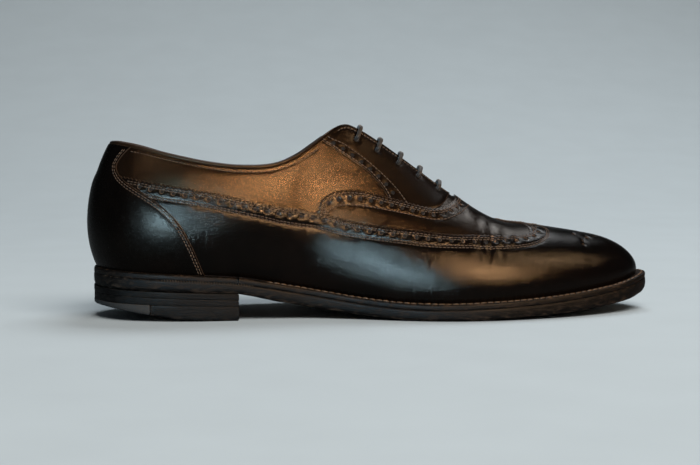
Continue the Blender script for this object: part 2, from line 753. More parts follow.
def sew(seam, rows, depth):
    """Add a row of stitches to a seam: (starts, stops, outward directions)."""
    steps = even(rows, STITCH_PITCH)
    ups = outward(steps)
    ends = point(steps) - ups * (depth(steps) - .02)[:, None]
    gap = (ends[1:] - ends[:-1]) * (STITCH_GAP / 2)
    jitter = RNG.normal(0, .03, gap.shape)
    seams.setdefault(seam, []).append((ends[:-1] + gap + jitter, ends[1:] - gap + jitter,
                                       unit(ups[1:] + ups[:-1])))


def sew_creased(grooves, depth):
    """Stitches in grooves that cross the flex wrinkles."""
    for groove in grooves:
        for side in (-1, 1):
            part = groove[groove[:, SIDE] == side]
            if len(part) > 3:
                sew("ball", part, lambda rows: depth(rows) + folds(rows))


# ---------------------------------------------------------------- materials
class Shader:
    """A new material with short ways to add nodes; textures run on object places in mm."""

    def __init__(self, name):
        self.material = bpy.data.materials.new(name)
        self.material.use_nodes = True
        self.tree = self.material.node_tree
        self.tree.nodes.clear()
        coords = self.node("ShaderNodeTexCoord")
        to_mm = self.node("ShaderNodeVectorMath", operation="SCALE")
        to_mm.inputs["Scale"].default_value = 1000
        self.feed(to_mm.inputs[0], coords.outputs["Object"])
        self.mm = to_mm.outputs[0]

    def node(self, kind, **props):
        node = self.tree.nodes.new(kind)
        for key, value in props.items():
            setattr(node, key, value)
        return node

    def feed(self, socket, value):
        """Set an input: a number, a colour, or a link from an output."""
        if isinstance(value, (int, float)):
            socket.default_value = value
        elif isinstance(value, tuple):
            socket.default_value = (*value, 1)
        else:
            self.tree.links.new(value, socket)

    def noise(self, scale, detail=3, rough=.55, vec=None, dist=0.0, output="Fac"):
        node = self.node("ShaderNodeTexNoise")
        for key, value in (("Scale", scale), ("Detail", detail), ("Roughness", rough),
                           ("Distortion", dist), ("Vector", vec or self.mm)):
            self.feed(node.inputs[key], value)
        return node.outputs[output]

    def cells(self, scale, vec=None):
        """Distance to the edges of Voronoi cells."""
        node = self.node("ShaderNodeTexVoronoi", feature="DISTANCE_TO_EDGE")
        node.inputs["Scale"].default_value = scale
        node.inputs["Randomness"].default_value = 1.0
        self.feed(node.inputs["Vector"], vec or self.mm)
        return node.outputs["Distance"]

    def stretch(self, *factors):
        node = self.node("ShaderNodeVectorMath", operation="MULTIPLY")
        self.feed(node.inputs[0], self.mm)
        node.inputs[1].default_value = factors
        return node.outputs[0]

    def math(self, operation, first, second=0.0, clamp=False):
        node = self.node("ShaderNodeMath", operation=operation)
        node.use_clamp = clamp
        self.feed(node.inputs[0], first)
        self.feed(node.inputs[1], second)
        return node.outputs[0]

    def ramp(self, fac, *stops):
        node = self.node("ShaderNodeValToRGB")
        elements = node.color_ramp.elements
        while len(elements) < len(stops):
            elements.new(.5)
        for i, (position, color) in enumerate(stops):
            elements[i].position = position
            elements[i].color = (*color, 1)
        self.feed(node.inputs[0], fac)
        return node.outputs["Color"]

    def remap(self, value, source, target=(0.0, 1.0)):
        """Clamped change of range from source to target."""
        node = self.node("ShaderNodeMapRange")
        node.clamp = True
        self.feed(node.inputs["Value"], value)
        for key, number in zip(("From Min", "From Max", "To Min", "To Max"),
                               (*source, *target)):
            node.inputs[key].default_value = number
        return node.outputs["Result"]

    def mix(self, fac, first, second):
        node = self.node("ShaderNodeMix", data_type="RGBA")
        self.feed(node.inputs["Factor"], fac)
        self.feed(node.inputs[6], first)
        self.feed(node.inputs[7], second)
        return node.outputs[2]

    def wear(self):
        return self.node("ShaderNodeAttribute", attribute_name="wear").outputs["Fac"]

    def bump(self, height, strength, dist, under=None):
        node = self.node("ShaderNodeBump")
        node.inputs["Strength"].default_value = strength
        node.inputs["Distance"].default_value = dist
        self.feed(node.inputs["Height"], height)
        if under is not None:
            self.feed(node.inputs["Normal"], under)
        return node.outputs["Normal"]

    def finish(self, color, rough, bump=None, metallic=0.0, coat=0.0, coat_rough=.15, spec=.5,
               sheen=0.0, coat_bump=None, tint=None):
        bsdf = self.node("ShaderNodeBsdfPrincipled")
        output = self.node("ShaderNodeOutputMaterial")
        self.feed(output.inputs[0], bsdf.outputs[0])
        for key, value in (("Base Color", color), ("Roughness", rough), ("Metallic", metallic),
                           ("Coat Weight", coat), ("Coat Roughness", coat_rough),
                           ("Specular IOR Level", spec), ("Sheen Weight", sheen),
                           ("Normal", bump), ("Coat Normal", coat_bump),
                           ("Specular Tint", tint)):
            if value is not None:
                self.feed(bsdf.inputs[key], value)
        return self.material


def shade(color, factor):
    return tuple(x * factor for x in color)


def between(first, second):
    return tuple((a + b) / 2 for a, b in zip(first, second))


def polished_leather(name, dark, warm, worn=(.050, .030, .019), gloss=.30, creases=1.0,
                     grain=1.0, tint=(1, 1, 1), spec=.34, coat=.12):
    """Waxed calf: pores, hairline creases, brown through the black, tan at worn cut edges."""
    g = Shader(name)
    cloud = g.noise(scale=.035, detail=3, rough=.55)
    blotch = g.noise(scale=.16, detail=4, rough=.6, dist=.4)
    color = g.mix(g.remap(cloud, (.36, .64)), dark, warm)
    color = g.mix(g.remap(blotch, (.42, .72), (0, .4)), color, shade(dark, .5))
    # grain cells on warped places
    warped = g.node("ShaderNodeVectorMath", operation="ADD")
    drift = g.noise(scale=.9, detail=2, rough=.5, output="Color")
    drift_scale = g.node("ShaderNodeVectorMath", operation="SCALE")
    g.feed(drift_scale.inputs[0], drift)
    drift_scale.inputs["Scale"].default_value = .9
    g.feed(warped.inputs[0], g.mm)
    g.feed(warped.inputs[1], drift_scale.outputs[0])
    vec = warped.outputs[0]
    coarse = g.remap(g.cells(1.15, vec), (0, .16))
    fine = g.remap(g.cells(2.6, vec), (0, .2))
    hair = g.noise(scale=3.4, detail=3, rough=.7)
    # hairlines: thin broken lines, kept to patches
    lines = g.noise(scale=.55, detail=4, rough=.6, vec=g.stretch(1.0, .45, .30), dist=1.1)
    lines = g.remap(g.math("ABSOLUTE", g.math("SUBTRACT", lines, .5)), (0, .028))
    patch = g.remap(g.noise(scale=.045, detail=2, rough=.5), (.48, .66))
    lines = g.math("MAXIMUM", lines, g.math("SUBTRACT", 1.0, patch))
    shown = g.math("MULTIPLY", g.math("SUBTRACT", 1.0, lines), .5 * creases, clamp=True)
    color = g.mix(shown, color, shade(warm, 2.2))
    wear = g.wear()
    rubbed = g.noise(scale=1.1, detail=4, rough=.7)
    wear = g.math("MULTIPLY", g.remap(wear, (.35, 1.0)), g.remap(rubbed, (.34, .62), (.15, .95)),
                  clamp=True)
    color = g.mix(wear, color, worn)
    height = g.math("ADD", g.math("MULTIPLY", coarse, .60 * grain),
                    g.math("MULTIPLY", fine, .32 * grain))
    height = g.math("ADD", height, g.math("MULTIPLY", hair, .35))
    height = g.math("ADD", height, g.math("MULTIPLY", lines, .55 * creases))
    bump = g.bump(height, strength=.26, dist=.00012)
    bump = g.bump(g.noise(scale=.13, detail=2, rough=.5), strength=.20, dist=.0007, under=bump)
    coat_bump = g.bump(g.noise(scale=.10, detail=2, rough=.5), strength=.35, dist=.0010,
                       under=g.bump(height, strength=.16, dist=.00014))
    rough = g.math("ADD", g.remap(g.noise(scale=.45, detail=5, rough=.65), (.3, .7),
                                  (gloss - .04, gloss + .06)), g.math("MULTIPLY", wear, .3))
    return g.finish(color, rough, bump, coat=coat, coat_rough=.14, spec=spec,
                    coat_bump=coat_bump, tint=tint)


def cut_edge(name, light, dark):
    """Fibrous cut edge of a leather piece."""
    g = Shader(name)
    color = g.ramp(g.noise(scale=1.6, detail=5, rough=.75),
                   (.30, dark), (.52, between(light, dark)), (.70, light))
    fibre = g.bump(g.noise(scale=4.5, detail=5, rough=.8), strength=.5, dist=.0002)
    return g.finish(color, .78, fibre, spec=.25)


def flesh_side(name, light, dark):
    """Flesh side: matt and fibrous."""
    g = Shader(name)
    color = g.ramp(g.noise(scale=.5, detail=6, rough=.7), (.3, dark), (.7, light))
    fibre = g.bump(g.noise(scale=3.2, detail=6, rough=.8), strength=.6, dist=.0003)
    return g.finish(color, .9, fibre, spec=.15, sheen=.25)


def lining_leather(name, base, dark):
    """Lining calf: soft grain and darkened patches."""
    g = Shader(name)
    blot = g.noise(scale=.05, detail=4, rough=.6, dist=.5)
    color = g.ramp(blot, (.32, dark), (.50, base), (.72, shade(base, 1.25)))
    spots = g.noise(scale=.9, detail=5, rough=.7)
    color = g.mix(g.remap(spots, (.55, .8), (0, .4)), color, dark)
    pores = g.math("ADD", g.remap(g.cells(1.2), (0, .2)), g.noise(scale=2.2, detail=4, rough=.6))
    bump = g.bump(pores, strength=.3, dist=.0003)
    bump = g.bump(g.noise(scale=.09, detail=3, rough=.6), strength=.35, dist=.003, under=bump)
    return g.finish(color, g.remap(blot, (.3, .7), (.42, .66)), bump, spec=.4, coat=.08)


def sole_edge(name, dark, scuff, lines=1.0):
    """Stacked, inked sole leather from the side; scuffs show the tan below the ink."""
    g = Shader(name)
    vec = g.stretch(.22, .22, 2.6)
    layers = g.noise(scale=1.0, detail=5, rough=.7, vec=vec)
    color = g.ramp(layers, (.30, shade(dark, .6)), (.55, dark), (.78, shade(dark, 2.3)))
    wear = g.wear()
    scuffs = g.noise(scale=.35, detail=6, rough=.72, vec=g.stretch(.5, .5, 1.6), dist=.6)
    worn = g.math("MULTIPLY", g.remap(scuffs, (.50, .70)), g.remap(wear, (.2, 1.0), (.22, 1.0)),
                  clamp=True)
    color = g.mix(worn, color, scuff)
    height = g.math("ADD", g.math("MULTIPLY", layers, .8 * lines),
                    g.math("MULTIPLY", g.noise(scale=1.6, detail=5, rough=.7), .5))
    bump = g.bump(height, strength=.55, dist=.0005)
    return g.finish(color, g.remap(scuffs, (.35, .7), (.34, .70)), bump, spec=.14, coat=.02,
                    coat_rough=.25)


def sole_bottom(name, new, worn):
    """Walked-on sole leather: dark patches, scratched along and across."""
    g = Shader(name)
    patch = g.noise(scale=.022, detail=3, rough=.5)
    mottle = g.math("ADD", g.math("MULTIPLY", patch, .7),
                    g.math("MULTIPLY", g.noise(scale=.25, detail=6, rough=.7), .35))
    color = g.ramp(mottle, (.34, worn), (.58, between(new, worn)), (.80, new))
    across = g.noise(scale=.8, detail=5, rough=.7, vec=g.stretch(2.2, .25, 1))
    along = g.noise(scale=.8, detail=5, rough=.7, vec=g.stretch(.25, 2.0, 1))
    scratch = g.math("MAXIMUM", g.remap(across, (.62, .74)), g.remap(along, (.64, .76)))
    color = g.mix(g.math("MULTIPLY", scratch, .5), color, shade(worn, .45))
    bump = g.bump(g.math("SUBTRACT", g.noise(scale=1.5, detail=5, rough=.7), scratch),
                  strength=.45, dist=.0004)
    return g.finish(color, g.remap(patch, (.3, .7), (.45, .8)), bump, spec=.35)


def plain(name, light, dark, scale, rough, bump, metallic=0.0, dist=.0003, spec=.4):
    """Two colours mottled by one noise, which also drives the roughness and the relief."""
    g = Shader(name)
    mottle = g.noise(scale=scale, detail=6, rough=.68)
    color = g.ramp(mottle, (.32, dark), (.68, light))
    relief = g.bump(g.math("ADD", g.noise(scale=scale * 4, detail=5, rough=.7), mottle),
                    strength=bump, dist=dist)
    return g.finish(color, g.remap(mottle, (.3, .7), rough), relief, metallic=metallic,
                    spec=spec)


def thread_mat(name, light, dark):
    """Waxed thread: diagonal twist with soiled parts."""
    g = Shader(name)
    color = g.ramp(g.noise(scale=.55, detail=5, rough=.7), (.34, dark), (.62, light))
    twist = g.node("ShaderNodeTexWave", wave_type="BANDS", bands_direction="DIAGONAL")
    twist.inputs["Scale"].default_value = 2.6
    twist.inputs["Distortion"].default_value = .6
    g.feed(twist.inputs["Vector"], g.mm)
    bump = g.bump(twist.outputs["Fac"], strength=.55, dist=.00012)
    return g.finish(color, .55, bump, spec=.4, coat=.1)


def cord_mat(name, light, dark):
    """Waxed cotton lace."""
    g = Shader(name)
    color = g.ramp(g.noise(scale=.9, detail=4, rough=.6), (.35, dark), (.7, light))
    bump = g.bump(g.noise(scale=3.0, detail=3, rough=.6), strength=.4, dist=.0002)
    return g.finish(color, .55, bump, spec=.4, sheen=.2)


GOLD = (1.0, .70, .44)
MAT = {}
MAT["quarter"] = polished_leather(
    "calf_quarter", dark=(.0022, .0012, .0008), warm=(.0056, .0027, .0014), gloss=.17,
    creases=.8, grain=1.6, tint=GOLD, spec=.44)
MAT["vamp"] = polished_leather(
    "calf_vamp", dark=(.0018, .0011, .0008), warm=(.0042, .0022, .0012), gloss=.155,
    creases=1.0, grain=1.5, tint=(1.0, .74, .50), spec=.30)
MAT["wing"] = polished_leather(
    "calf_wing", dark=(.0009, .0007, .0006), warm=(.0020, .0012, .0009), gloss=.12,
    creases=.6, grain=1.3, tint=(1.0, .90, .80), spec=.22, coat=.06)
MAT["facing"] = polished_leather(
    "calf_facing", dark=(.0020, .0013, .0009), warm=(.0046, .0025, .0014), gloss=.22,
    creases=1.4, grain=1.2, tint=(1.0, .72, .48), spec=.12)
MAT["counter"] = polished_leather(
    "calf_counter", dark=(.0008, .0006, .0005), warm=(.0015, .0009, .0007), gloss=.24,
    creases=.25, grain=.6, tint=(1.0, .88, .76), spec=.16, coat=.04)
MAT["punch"] = plain("punch_dust", light=(.016, .016, .017), dark=(.003, .003, .003),
                     scale=1.8, rough=(.7, .9), bump=.5, spec=.2)
MAT["binding"] = polished_leather(
    "calf_binding", dark=(.0050, .0028, .0018), warm=(.0130, .0064, .0034),
    worn=(.060, .034, .020), gloss=.38, tint=GOLD)
MAT["edge"] = cut_edge("calf_cut_edge", light=(.040, .024, .015), dark=(.006, .004, .003))
MAT["flesh"] = flesh_side("calf_flesh_side", light=(.20, .125, .074), dark=(.11, .066, .038))
MAT["lining"] = lining_leather("lining_calf", base=(.30, .185, .105), dark=(.13, .075, .04))
MAT["sock"] = lining_leather("sock_leather", base=(.22, .125, .066), dark=(.085, .046, .024))
MAT["tongue"] = polished_leather(
    "calf_tongue", dark=(.0042, .0026, .0018), warm=(.010, .0054, .0032), gloss=.42,
    creases=1.6)
MAT["welt"] = sole_edge("welt_edge", dark=(.0026, .0021, .0019), scuff=(.058, .036, .023))
MAT["sole_edge"] = sole_edge("outsole_edge", dark=(.0020, .0017, .0016),
                             scuff=(.052, .036, .025))
MAT["sole_bottom"] = sole_bottom("outsole_tread", new=(.36, .235, .14),
                                 worn=(.085, .055, .037))
MAT["heel"] = sole_edge("heel_lift_edge", dark=(.0014, .0013, .0012),
                        scuff=(.020, .016, .013), lines=1.5)
MAT["thread"] = thread_mat("upper_thread", light=(.110, .072, .048), dark=(.028, .018, .013))
MAT["welt_thread"] = thread_mat("welt_thread", light=(.125, .082, .050),
                                dark=(.040, .026, .016))
MAT["ticks"] = plain("wheel_wax", light=(.060, .045, .033), dark=(.012, .010, .009),
                     scale=1.2, rough=(.5, .8), bump=.4, spec=.2)
MAT["lace"] = cord_mat("lace_cotton", light=(.013, .0110, .0098), dark=(.0045, .0040, .0040))
MAT["rubber"] = plain("heel_rubber", light=(.020, .019, .018), dark=(.009, .0085, .008),
                      scale=.6, rough=(.55, .8), bump=.5)
MAT["cork"] = plain("cork_crumb", light=(.36, .22, .115), dark=(.13, .072, .035), scale=.9,
                    rough=(.8, .95), bump=.8, dist=.0006)
MAT["steel"] = plain("spring_steel", light=(.55, .55, .56), dark=(.36, .37, .39), scale=.6,
                     rough=(.28, .45), metallic=1.0, bump=.15)
MAT["brass"] = plain("brass_worn", light=(.62, .45, .18), dark=(.32, .21, .075), scale=1.4,
                     rough=(.25, .5), metallic=1.0, bump=.3)
MAT["stiffener"] = plain("leatherboard", light=(.40, .28, .17), dark=(.24, .16, .095),
                         scale=1.1, rough=(.75, .9), bump=.6)
MAT["insole"] = lining_leather("insole_leather", base=(.34, .225, .135),
                               dark=(.16, .10, .058))

# ---------------------------------------------------------------- pattern lines
# (s, t) on one side. _EDGE is a cut edge, _ROW the stitch row on the far side of the holes.
COUNTER_EDGE = [
    (14.32, .994), (14.55, .891), (14.62, .819), (14.45, .765), (14.13, .712), (13.62, .644),
    (13.19, .570), (12.80, .462), (12.49, .305), (12.27, .137), (12.14, 0)]
WING_EDGE = [
    (14.75, .735), (14.19, .739), (13.70, .737), (13.15, .735), (12.61, .733), (12.07, .715),
    (11.74, .685), (11.25, .636), (10.72, .561), (10.24, .485), (9.85, .450), (9.21, .441),
    (8.66, .448), (8.12, .459), (7.60, .478), (7.11, .493), (6.61, .510), (5.75, .566),
    (5.17, .616), (4.81, .648), (4.57, .678), (4.40, .724), (4.25, .800), (4.12, .870),
    (4.03, .930)]
WING_PEAK = [(4.03, .930), (4.22, .952), (4.62, .975), (5.12, 1.0)]
WING_ROW = [
    (14.55, .664), (13.95, .660), (13.36, .645), (12.6, .640), (12.0, .612), (11.27, .550),
    (10.8, .482), (10.38, .427), (9.95, .392), (9.47, .377), (8.64, .385), (8.05, .395),
    (7.59, .403), (6.89, .427), (6.12, .451), (5.53, .478), (5.07, .508), (4.59, .557),
    (4.20, .621), (3.91, .701), (3.70, .780), (3.56, .850), (3.46, .930), (3.50, .975),
    (3.80, 1.0)]
VAMP_EDGE = [
    (9.99, .440), (9.96, .479), (9.91, .524), (9.71, .563), (9.39, .595), (9.01, .616),
    (8.57, .623), (8.04, .633), (7.54, .648), (7.20, .680), (6.93, .738), (6.73, .819),
    (6.60, .91), (6.54, 1.0)]
VAMP_ROW = [
    (9.86, .425), (9.80, .455), (9.61, .500), (9.34, .524), (8.94, .542), (8.41, .556),
    (8.02, .565), (7.54, .576), (7.20, .597), (6.90, .640), (6.57, .725), (6.34, .834),
    (6.20, .92), (6.12, 1.0)]
# toe end of the vamp's lower edge, under the wing
VAMP_UNDER = [(4.32, .62), (4.02, .70), (3.80, .78), (3.66, .86), (3.60, .93), (3.60, 1.0)]
FACING_EDGE = [
    (10.33, .965), (10.20, .905), (9.98, .840), (9.73, .797), (9.25, .764), (8.86, .735),
    (8.51, .675), (8.30, .600)]
FACING_ROW = [
    (10.20, .960), (10.08, .915), (9.90, .875), (9.63, .847), (9.11, .814), (8.66, .773),
    (8.26, .718), (7.93, .640)]
FACING_FRONT = [(6.75, 1.0), (6.86, .90), (7.0, .79), (7.22, .70), (7.6, .62), (8.1, .595),
                (8.30, .600)]
EYELET_S = [7.17, 7.72, 8.26, 8.82, 9.4]
EYELET_T = .915
# flex wrinkles: x at t = .55, lean in x with t, depth, half width, first t, last t
FOLDS = ((211.5, 14, .62, 1.7, .30, .74), (205.0, 9, .50, 1.5, .36, .80),
         (218.5, 18, .42, 1.5, .34, .66), (198.0, 6, .30, 1.4, .42, .86),
         (225.0, 22, .22, 1.3, .40, .62))
_wing_limit = np.array([place for place in WING_EDGE if place[0] > 4.35][::-1])


def quarter_depth(rows):
    return np.full(len(rows), 1.2)


def facing_depth(rows):
    return np.full(len(rows), .55)


def vamp_depth(rows):
    """On the quarters at its upper band, and let down under the wing."""
    under = np.interp(rows[:, S], _wing_limit[:, 0], _wing_limit[:, 1]) - rows[:, T]
    return -.10 + .62 * smooth(under, .004, .05)


def wing_depth(rows):
    share = smooth(rows[:, S], 10.05, 11.3)
    return -.75 * (1 - share) + .35 * share


def counter_depth(rows):
    share = smooth(rows[:, T], .66, .77)
    return -.45 * (1 - share) + .40 * share


def folds(rows):
    """Depth of the flex wrinkles across the vamp and wing, each with a low ridge ahead."""
    x, t, side = point(rows)[:, 0], rows[:, T], rows[:, SIDE]
    out = np.zeros(len(rows))
    for k, (fold_x, lean, depth, width, t_from, t_to) in enumerate(FOLDS):
        shift = np.where(side < 0, 0.0, 3.0 - k)
        centre = fold_x + lean * (t - .55) + shift + .9 * np.sin(t * 17 + k * 1.7 + side)
        window = smooth(t, t_from - .10, t_from + .08) * (1 - smooth(t, t_to - .08, t_to + .12))
        groove = np.exp(-((x - centre) / width)**2)
        ridge = np.exp(-((x - centre - 2.6) / (width * 1.2))**2) * .45
        out += depth * window * (groove - ridge)
    return out


def middle_path(first, second):
    """Path halfway between two paths."""
    first, second = even(first, count=160), even(second, count=160)
    middle = (first + second) / 2
    middle[:, SIDE] = first[:, SIDE]
    return middle


def holes_along(path, pitch, radius, trim):
    """Evenly pitched holes along a path, kept clear of its ends by trim (mm)."""
    length = path_len(path)
    usable = length - trim[0] - trim[1]
    count = max(1, int(round(usable / pitch)))
    steps = even(path, count=max(2, int(length * 2)))
    index = (trim[0] + (np.arange(count) + .5) * usable / count) / length * (len(steps) - 1)
    return [(tuple(row), radius) for row in nearer_side(take(steps, index))]


def level_run(side, s0, s1, t=0.0, step=2.2):
    """Path at constant t."""
    count = max(2, int(round(abs(s1 - s0) * 20 / step)))
    return np.c_[np.full(count + 1, side), np.linspace(s0, s1, count + 1),
                 np.full(count + 1, t)]


def dedupe(rows):
    """Drop rows of a closed loop that sit on top of the one before."""
    points, least = point(rows), .25
    keep = [0]
    for i in range(1, len(rows)):
        if np.linalg.norm(points[i] - points[keep[-1]]) > least:
            keep.append(i)
    while len(keep) > 3 and np.linalg.norm(points[keep[-1]] - points[keep[0]]) < least:
        keep.pop()
    return rows[keep]


# ---------------------------------------------------------------- wing cap and vamp
MEDALLION_XY = (265.5, -4.0)


def medallion():
    """Toe holes (dx, dy, radius): a centre, two rings of eight and four pairs outside."""
    def ring(distance, radius, angles):
        return [(distance * math.cos(a), distance * math.sin(a), radius) for a in angles]
    eighths = np.arange(8) * math.pi / 4
    spots = [(0, 0, 1.5)] + ring(5.2, .8, eighths) + ring(9.8, 1.15, eighths + math.pi / 8)
    for angle in np.arange(4) * math.pi / 2:
        spots += ring(13.4, .8, [angle]) + ring(16.2, .95, [angle])
    return [(find_xy(MEDALLION_XY[0] + dx, MEDALLION_XY[1] + dy), radius)
            for dx, dy, radius in spots]


def build_wing():
    edge = {side: line(side, WING_EDGE) for side in (-1, 1)}
    peak = {side: line(side, WING_PEAK) for side in (-1, 1)}
    row = {side: line(side, WING_ROW) for side in (-1, 1)}
    medial_peak = gimp(peak[-1], .7)[1:]
    medial_peak[-1] = [-1, 5.16, 1.0]
    counter = line(1, COUNTER_EDGE)
    rear_lateral = even(counter[counter[:, T] < .72], 2.0)
    rear_lateral[:, S] += .28
    rear_medial = rear_lateral[::-1].copy()
    rear_medial[:, SIDE] = -1
    foot = np.vstack([level_run(1, rear_lateral[-1, S], 0),
                      level_run(-1, 0, rear_medial[0, S])[1:]])
    loop = dedupe(np.vstack([gimp(edge[-1]), medial_peak, gimp(peak[1][::-1], .7)[1:-1],
                             gimp(edge[1][::-1]), rear_lateral, foot[1:-1], rear_medial]))
    holes = []
    for side in (-1, 1):
        middle = middle_path(np.vstack([edge[side], peak[side][1:30]]), row[side][:-8])
        holes += holes_along(middle[middle[:, S] < 14.0], pitch=6.25, radius=1.22,
                             trim=(1.0, 3.0))
    holes += medallion()
    full = np.vstack([edge[-1], peak[-1][1:], peak[1][::-1][1:], edge[1][::-1][1:]])
    grooves = [offset_path(even(full, .8), mm) for mm in (-1.25, -2.45)]
    grooves = [groove[groove[:, S] < 14.15] for groove in grooves]
    lower = np.vstack([row[-1], row[1][::-1][1:]])
    lower = lower[lower[:, S] < 14.0]
    grooves += [lower, offset_path(even(lower, .8), -1.2)]
    sheet_piece("wing_cap", "wing", loop, dom_plan, wing_depth, thick=.6, step=2.2,
                regions=[(-1, 0, 14.8, 0.01, 1), (1, 0, 14.8, 0.01, 1)], attach=flex_blend,
                holes=holes, grooves=grooves, crease=folds)
    sew_creased(grooves, wing_depth)


def build_vamp():
    upper = both(VAMP_EDGE)
    lower = even(both([(s, t - .075) for s, t in WING_EDGE[8:19]] + VAMP_UNDER), 2.2)
    loop = dedupe(np.vstack([gimp(upper), lower[::-1]]))
    row = {side: line(side, VAMP_ROW) for side in (-1, 1)}
    holes = []
    for side in (-1, 1):
        middle = middle_path(line(side, VAMP_EDGE), row[side])
        middle = middle[(middle[:, T] > .485) & (middle[:, T] < .985)]
        holes += holes_along(middle, pitch=5.9, radius=1.2, trim=(.5, 1.0))
    grooves = [offset_path(even(upper, .8), mm) for mm in (-1.2, -2.35)]
    grooves.append(np.vstack([row[-1], row[1][::-1][1:]]))
    sheet_piece("vamp", "vamp", loop, dom_plan, vamp_depth, thick=.62, step=2.2,
                regions=[(-1, 3.8, 10.2, .34, 1), (1, 3.8, 10.2, .34, 1)], attach=flex_blend,
                holes=holes, grooves=grooves, crease=folds)
    sew_creased(grooves, vamp_depth)


# ---------------------------------------------------------------- quarters, facings, counter
SEAM_S = 15.985               # side pieces end just short of the heel line
QUARTER_FRONT_S = 6.42
FACING_TOP_S, FACING_FRONT_S = 10.33, 6.75


def top_path(side, s_from, s_to, count):
    """Top of the side pieces: the facing edge, then a little below the topline."""
    s = np.linspace(s_from, s_to, count)
    return np.c_[np.full(count, side), s, 1 - .012 * smooth(s, 10.1, 10.5)]


def ridge_path(side, s_from, s_to):
    return np.c_[np.full(200, side), np.linspace(s_from, s_to, 200), np.full(200, 1.0)]


def build_quarter(side):
    """Quarter: under the vamp band in front, under the wing below, back to the heel."""
    wing = line(side, WING_EDGE)
    low = even(wing[wing[:, S] > 9.9], 2.2)
    low = low[np.argsort(low[:, S])]
    low[:, T] -= .07
    front = even(line(side, VAMP_EDGE), 2.2)
    front = front[np.argsort(front[:, T])]
    front[:, S] -= .22
    front[:, T] = np.clip(front[:, T] - .055, .37, 1)
    front = front[::-1]
    front[0] = [side, QUARTER_FRONT_S, 1.0]
    tail = level_run(side, low[-1, S], SEAM_S, low[-1, T])[1:]
    top = even(top_path(side, SEAM_S, QUARTER_FRONT_S, 260), 1.9)
    heel = np.c_[np.full(12, side), np.full(12, SEAM_S),
                 np.linspace(low[-1, T], 1 - .012, 12)]
    loop = dedupe(np.vstack([front, low[low[:, S] > front[-1, S]], tail, heel[1:], top[1:-1]]))
    seam = offset_path(ridge_path(side, 10.5, 15.9), -3.4 * side)
    seam = seam[seam[:, S] < 14.35]
    sheet_piece("quarter_" + SIDE_NAME[side], "quarter", loop, dom_side, quarter_depth,
                thick=1.0, step=2.4, regions=[(side, 6.3, 15.98, .36, .99)],
                attach=lambda obj: facing_blend(obj, side), grooves=[seam])
    sew(SIDE_NAME[side], seam, quarter_depth)


def build_facing(side):
    edge, row = line(side, FACING_EDGE), line(side, FACING_ROW)
    top = even(top_path(side, FACING_TOP_S, FACING_FRONT_S, 200), 1.6)
    front = even(line(side, FACING_FRONT), 2.0)
    loop = dedupe(np.vstack([even(edge, 1.5)[::-1], top[1:], front[1:-1]]))
    holes = holes_along(middle_path(edge[edge[:, T] > .64], row[row[:, T] > .655]),
                        pitch=5.9, radius=1.15, trim=(2.5, .5))
    holes += [((side, s, EYELET_T), 1.75) for s in EYELET_S]
    by_opening = offset_path(ridge_path(side, 10.05, 6.85), 2.2 * side)
    by_edge = offset_by_mean(edge, 1.2, raise_s=False)
    grooves = [row[row[:, T] > .62], by_edge[by_edge[:, T] > .62],
               by_opening[by_opening[:, T] < .9995]]
    sheet_piece("facing_" + SIDE_NAME[side], "facing", loop, dom_side, facing_depth, thick=.62,
                step=2.1, regions=[(side, 6.7, 10.4, .58, .995)],
                attach=lambda obj: facing_blend(obj, side), holes=holes, grooves=grooves,
                hole_depth=.62)
    for groove in grooves:
        sew(SIDE_NAME[side], groove, facing_depth)


def build_counter():
    edges = [line(side, COUNTER_EDGE) for side in (-1, 1)]
    medial, lateral = [edge[edge[:, T] < .985] for edge in edges]
    rise, fall = even(medial, 1.7)[::-1], even(lateral, 1.7)
    top_t = rise[-1, T]
    top = np.vstack([level_run(-1, rise[-1, S], HEEL, top_t, 1.7)[1:],
                     level_run(1, HEEL, fall[0, S], top_t, 1.7)[1:-1]])
    foot = np.vstack([level_run(1, fall[-1, S], HEEL)[1:],
                      level_run(-1, HEEL, rise[0, S])[1:-1]])
    grooves = []
    for edge in (medial, lateral):
        for mm in (1.25, 2.45):
            groove = offset_by_mean(edge, mm, raise_s=True)
            groove = groove[(groove[:, T] > .01) & (groove[:, T] < .955)]
            grooves.append(groove)
            sew("rear", groove, counter_depth)
    sheet_piece("heel_counter", "counter", dedupe(np.vstack([rise, top, fall, foot])),
                dom_side, counter_depth, thick=.75, step=2.6,
                regions=[(-1, 12.0, 16, .01, .985), (1, 12.0, 16, .01, .985)],
                attach=ride_root, grooves=grooves)


# ---------------------------------------------------------------- linings
LINING_THICK = .8
# front edge of the quarter linings: t, s
LINING_FRONT = np.array([[0, 8.42], [.03, 8.4], [.17, 8.3], [.25, 8.15], [.35, 7.95],
                         [.46, 7.76], [.58, 7.52], [.70, 7.27], [.82, 7.05], [.92, 6.9],
                         [1, 6.84]], float)
# vamp lining, from the ridge line (0) to the sides (8): s at its foot, then s and t midway,
# then s and t at its rear edge
VAMP_LINING = np.array([
    [0, 0, 0, 1, 6.35, 1], [1, .8, 1.1, .84, 6.6, .92], [2, 1.7, 2.3, .70, 6.85, .82],
    [3, 2.7, 3.5, .58, 7.1, .70], [4, 3.7, 4.6, .47, 7.35, .58], [5, 4.8, 5.7, .36, 7.6, .46],
    [6, 5.9, 6.7, .26, 7.8, .35], [7, 7, 7.4, .17, 8, .25], [8, 7.9, 8, .10, 8.1, .17]], float)


def lining_depth(s):
    return 3.2 + 1.45 * np.clip((np.asarray(s, float) - 11.2) / .9, 0, 1)


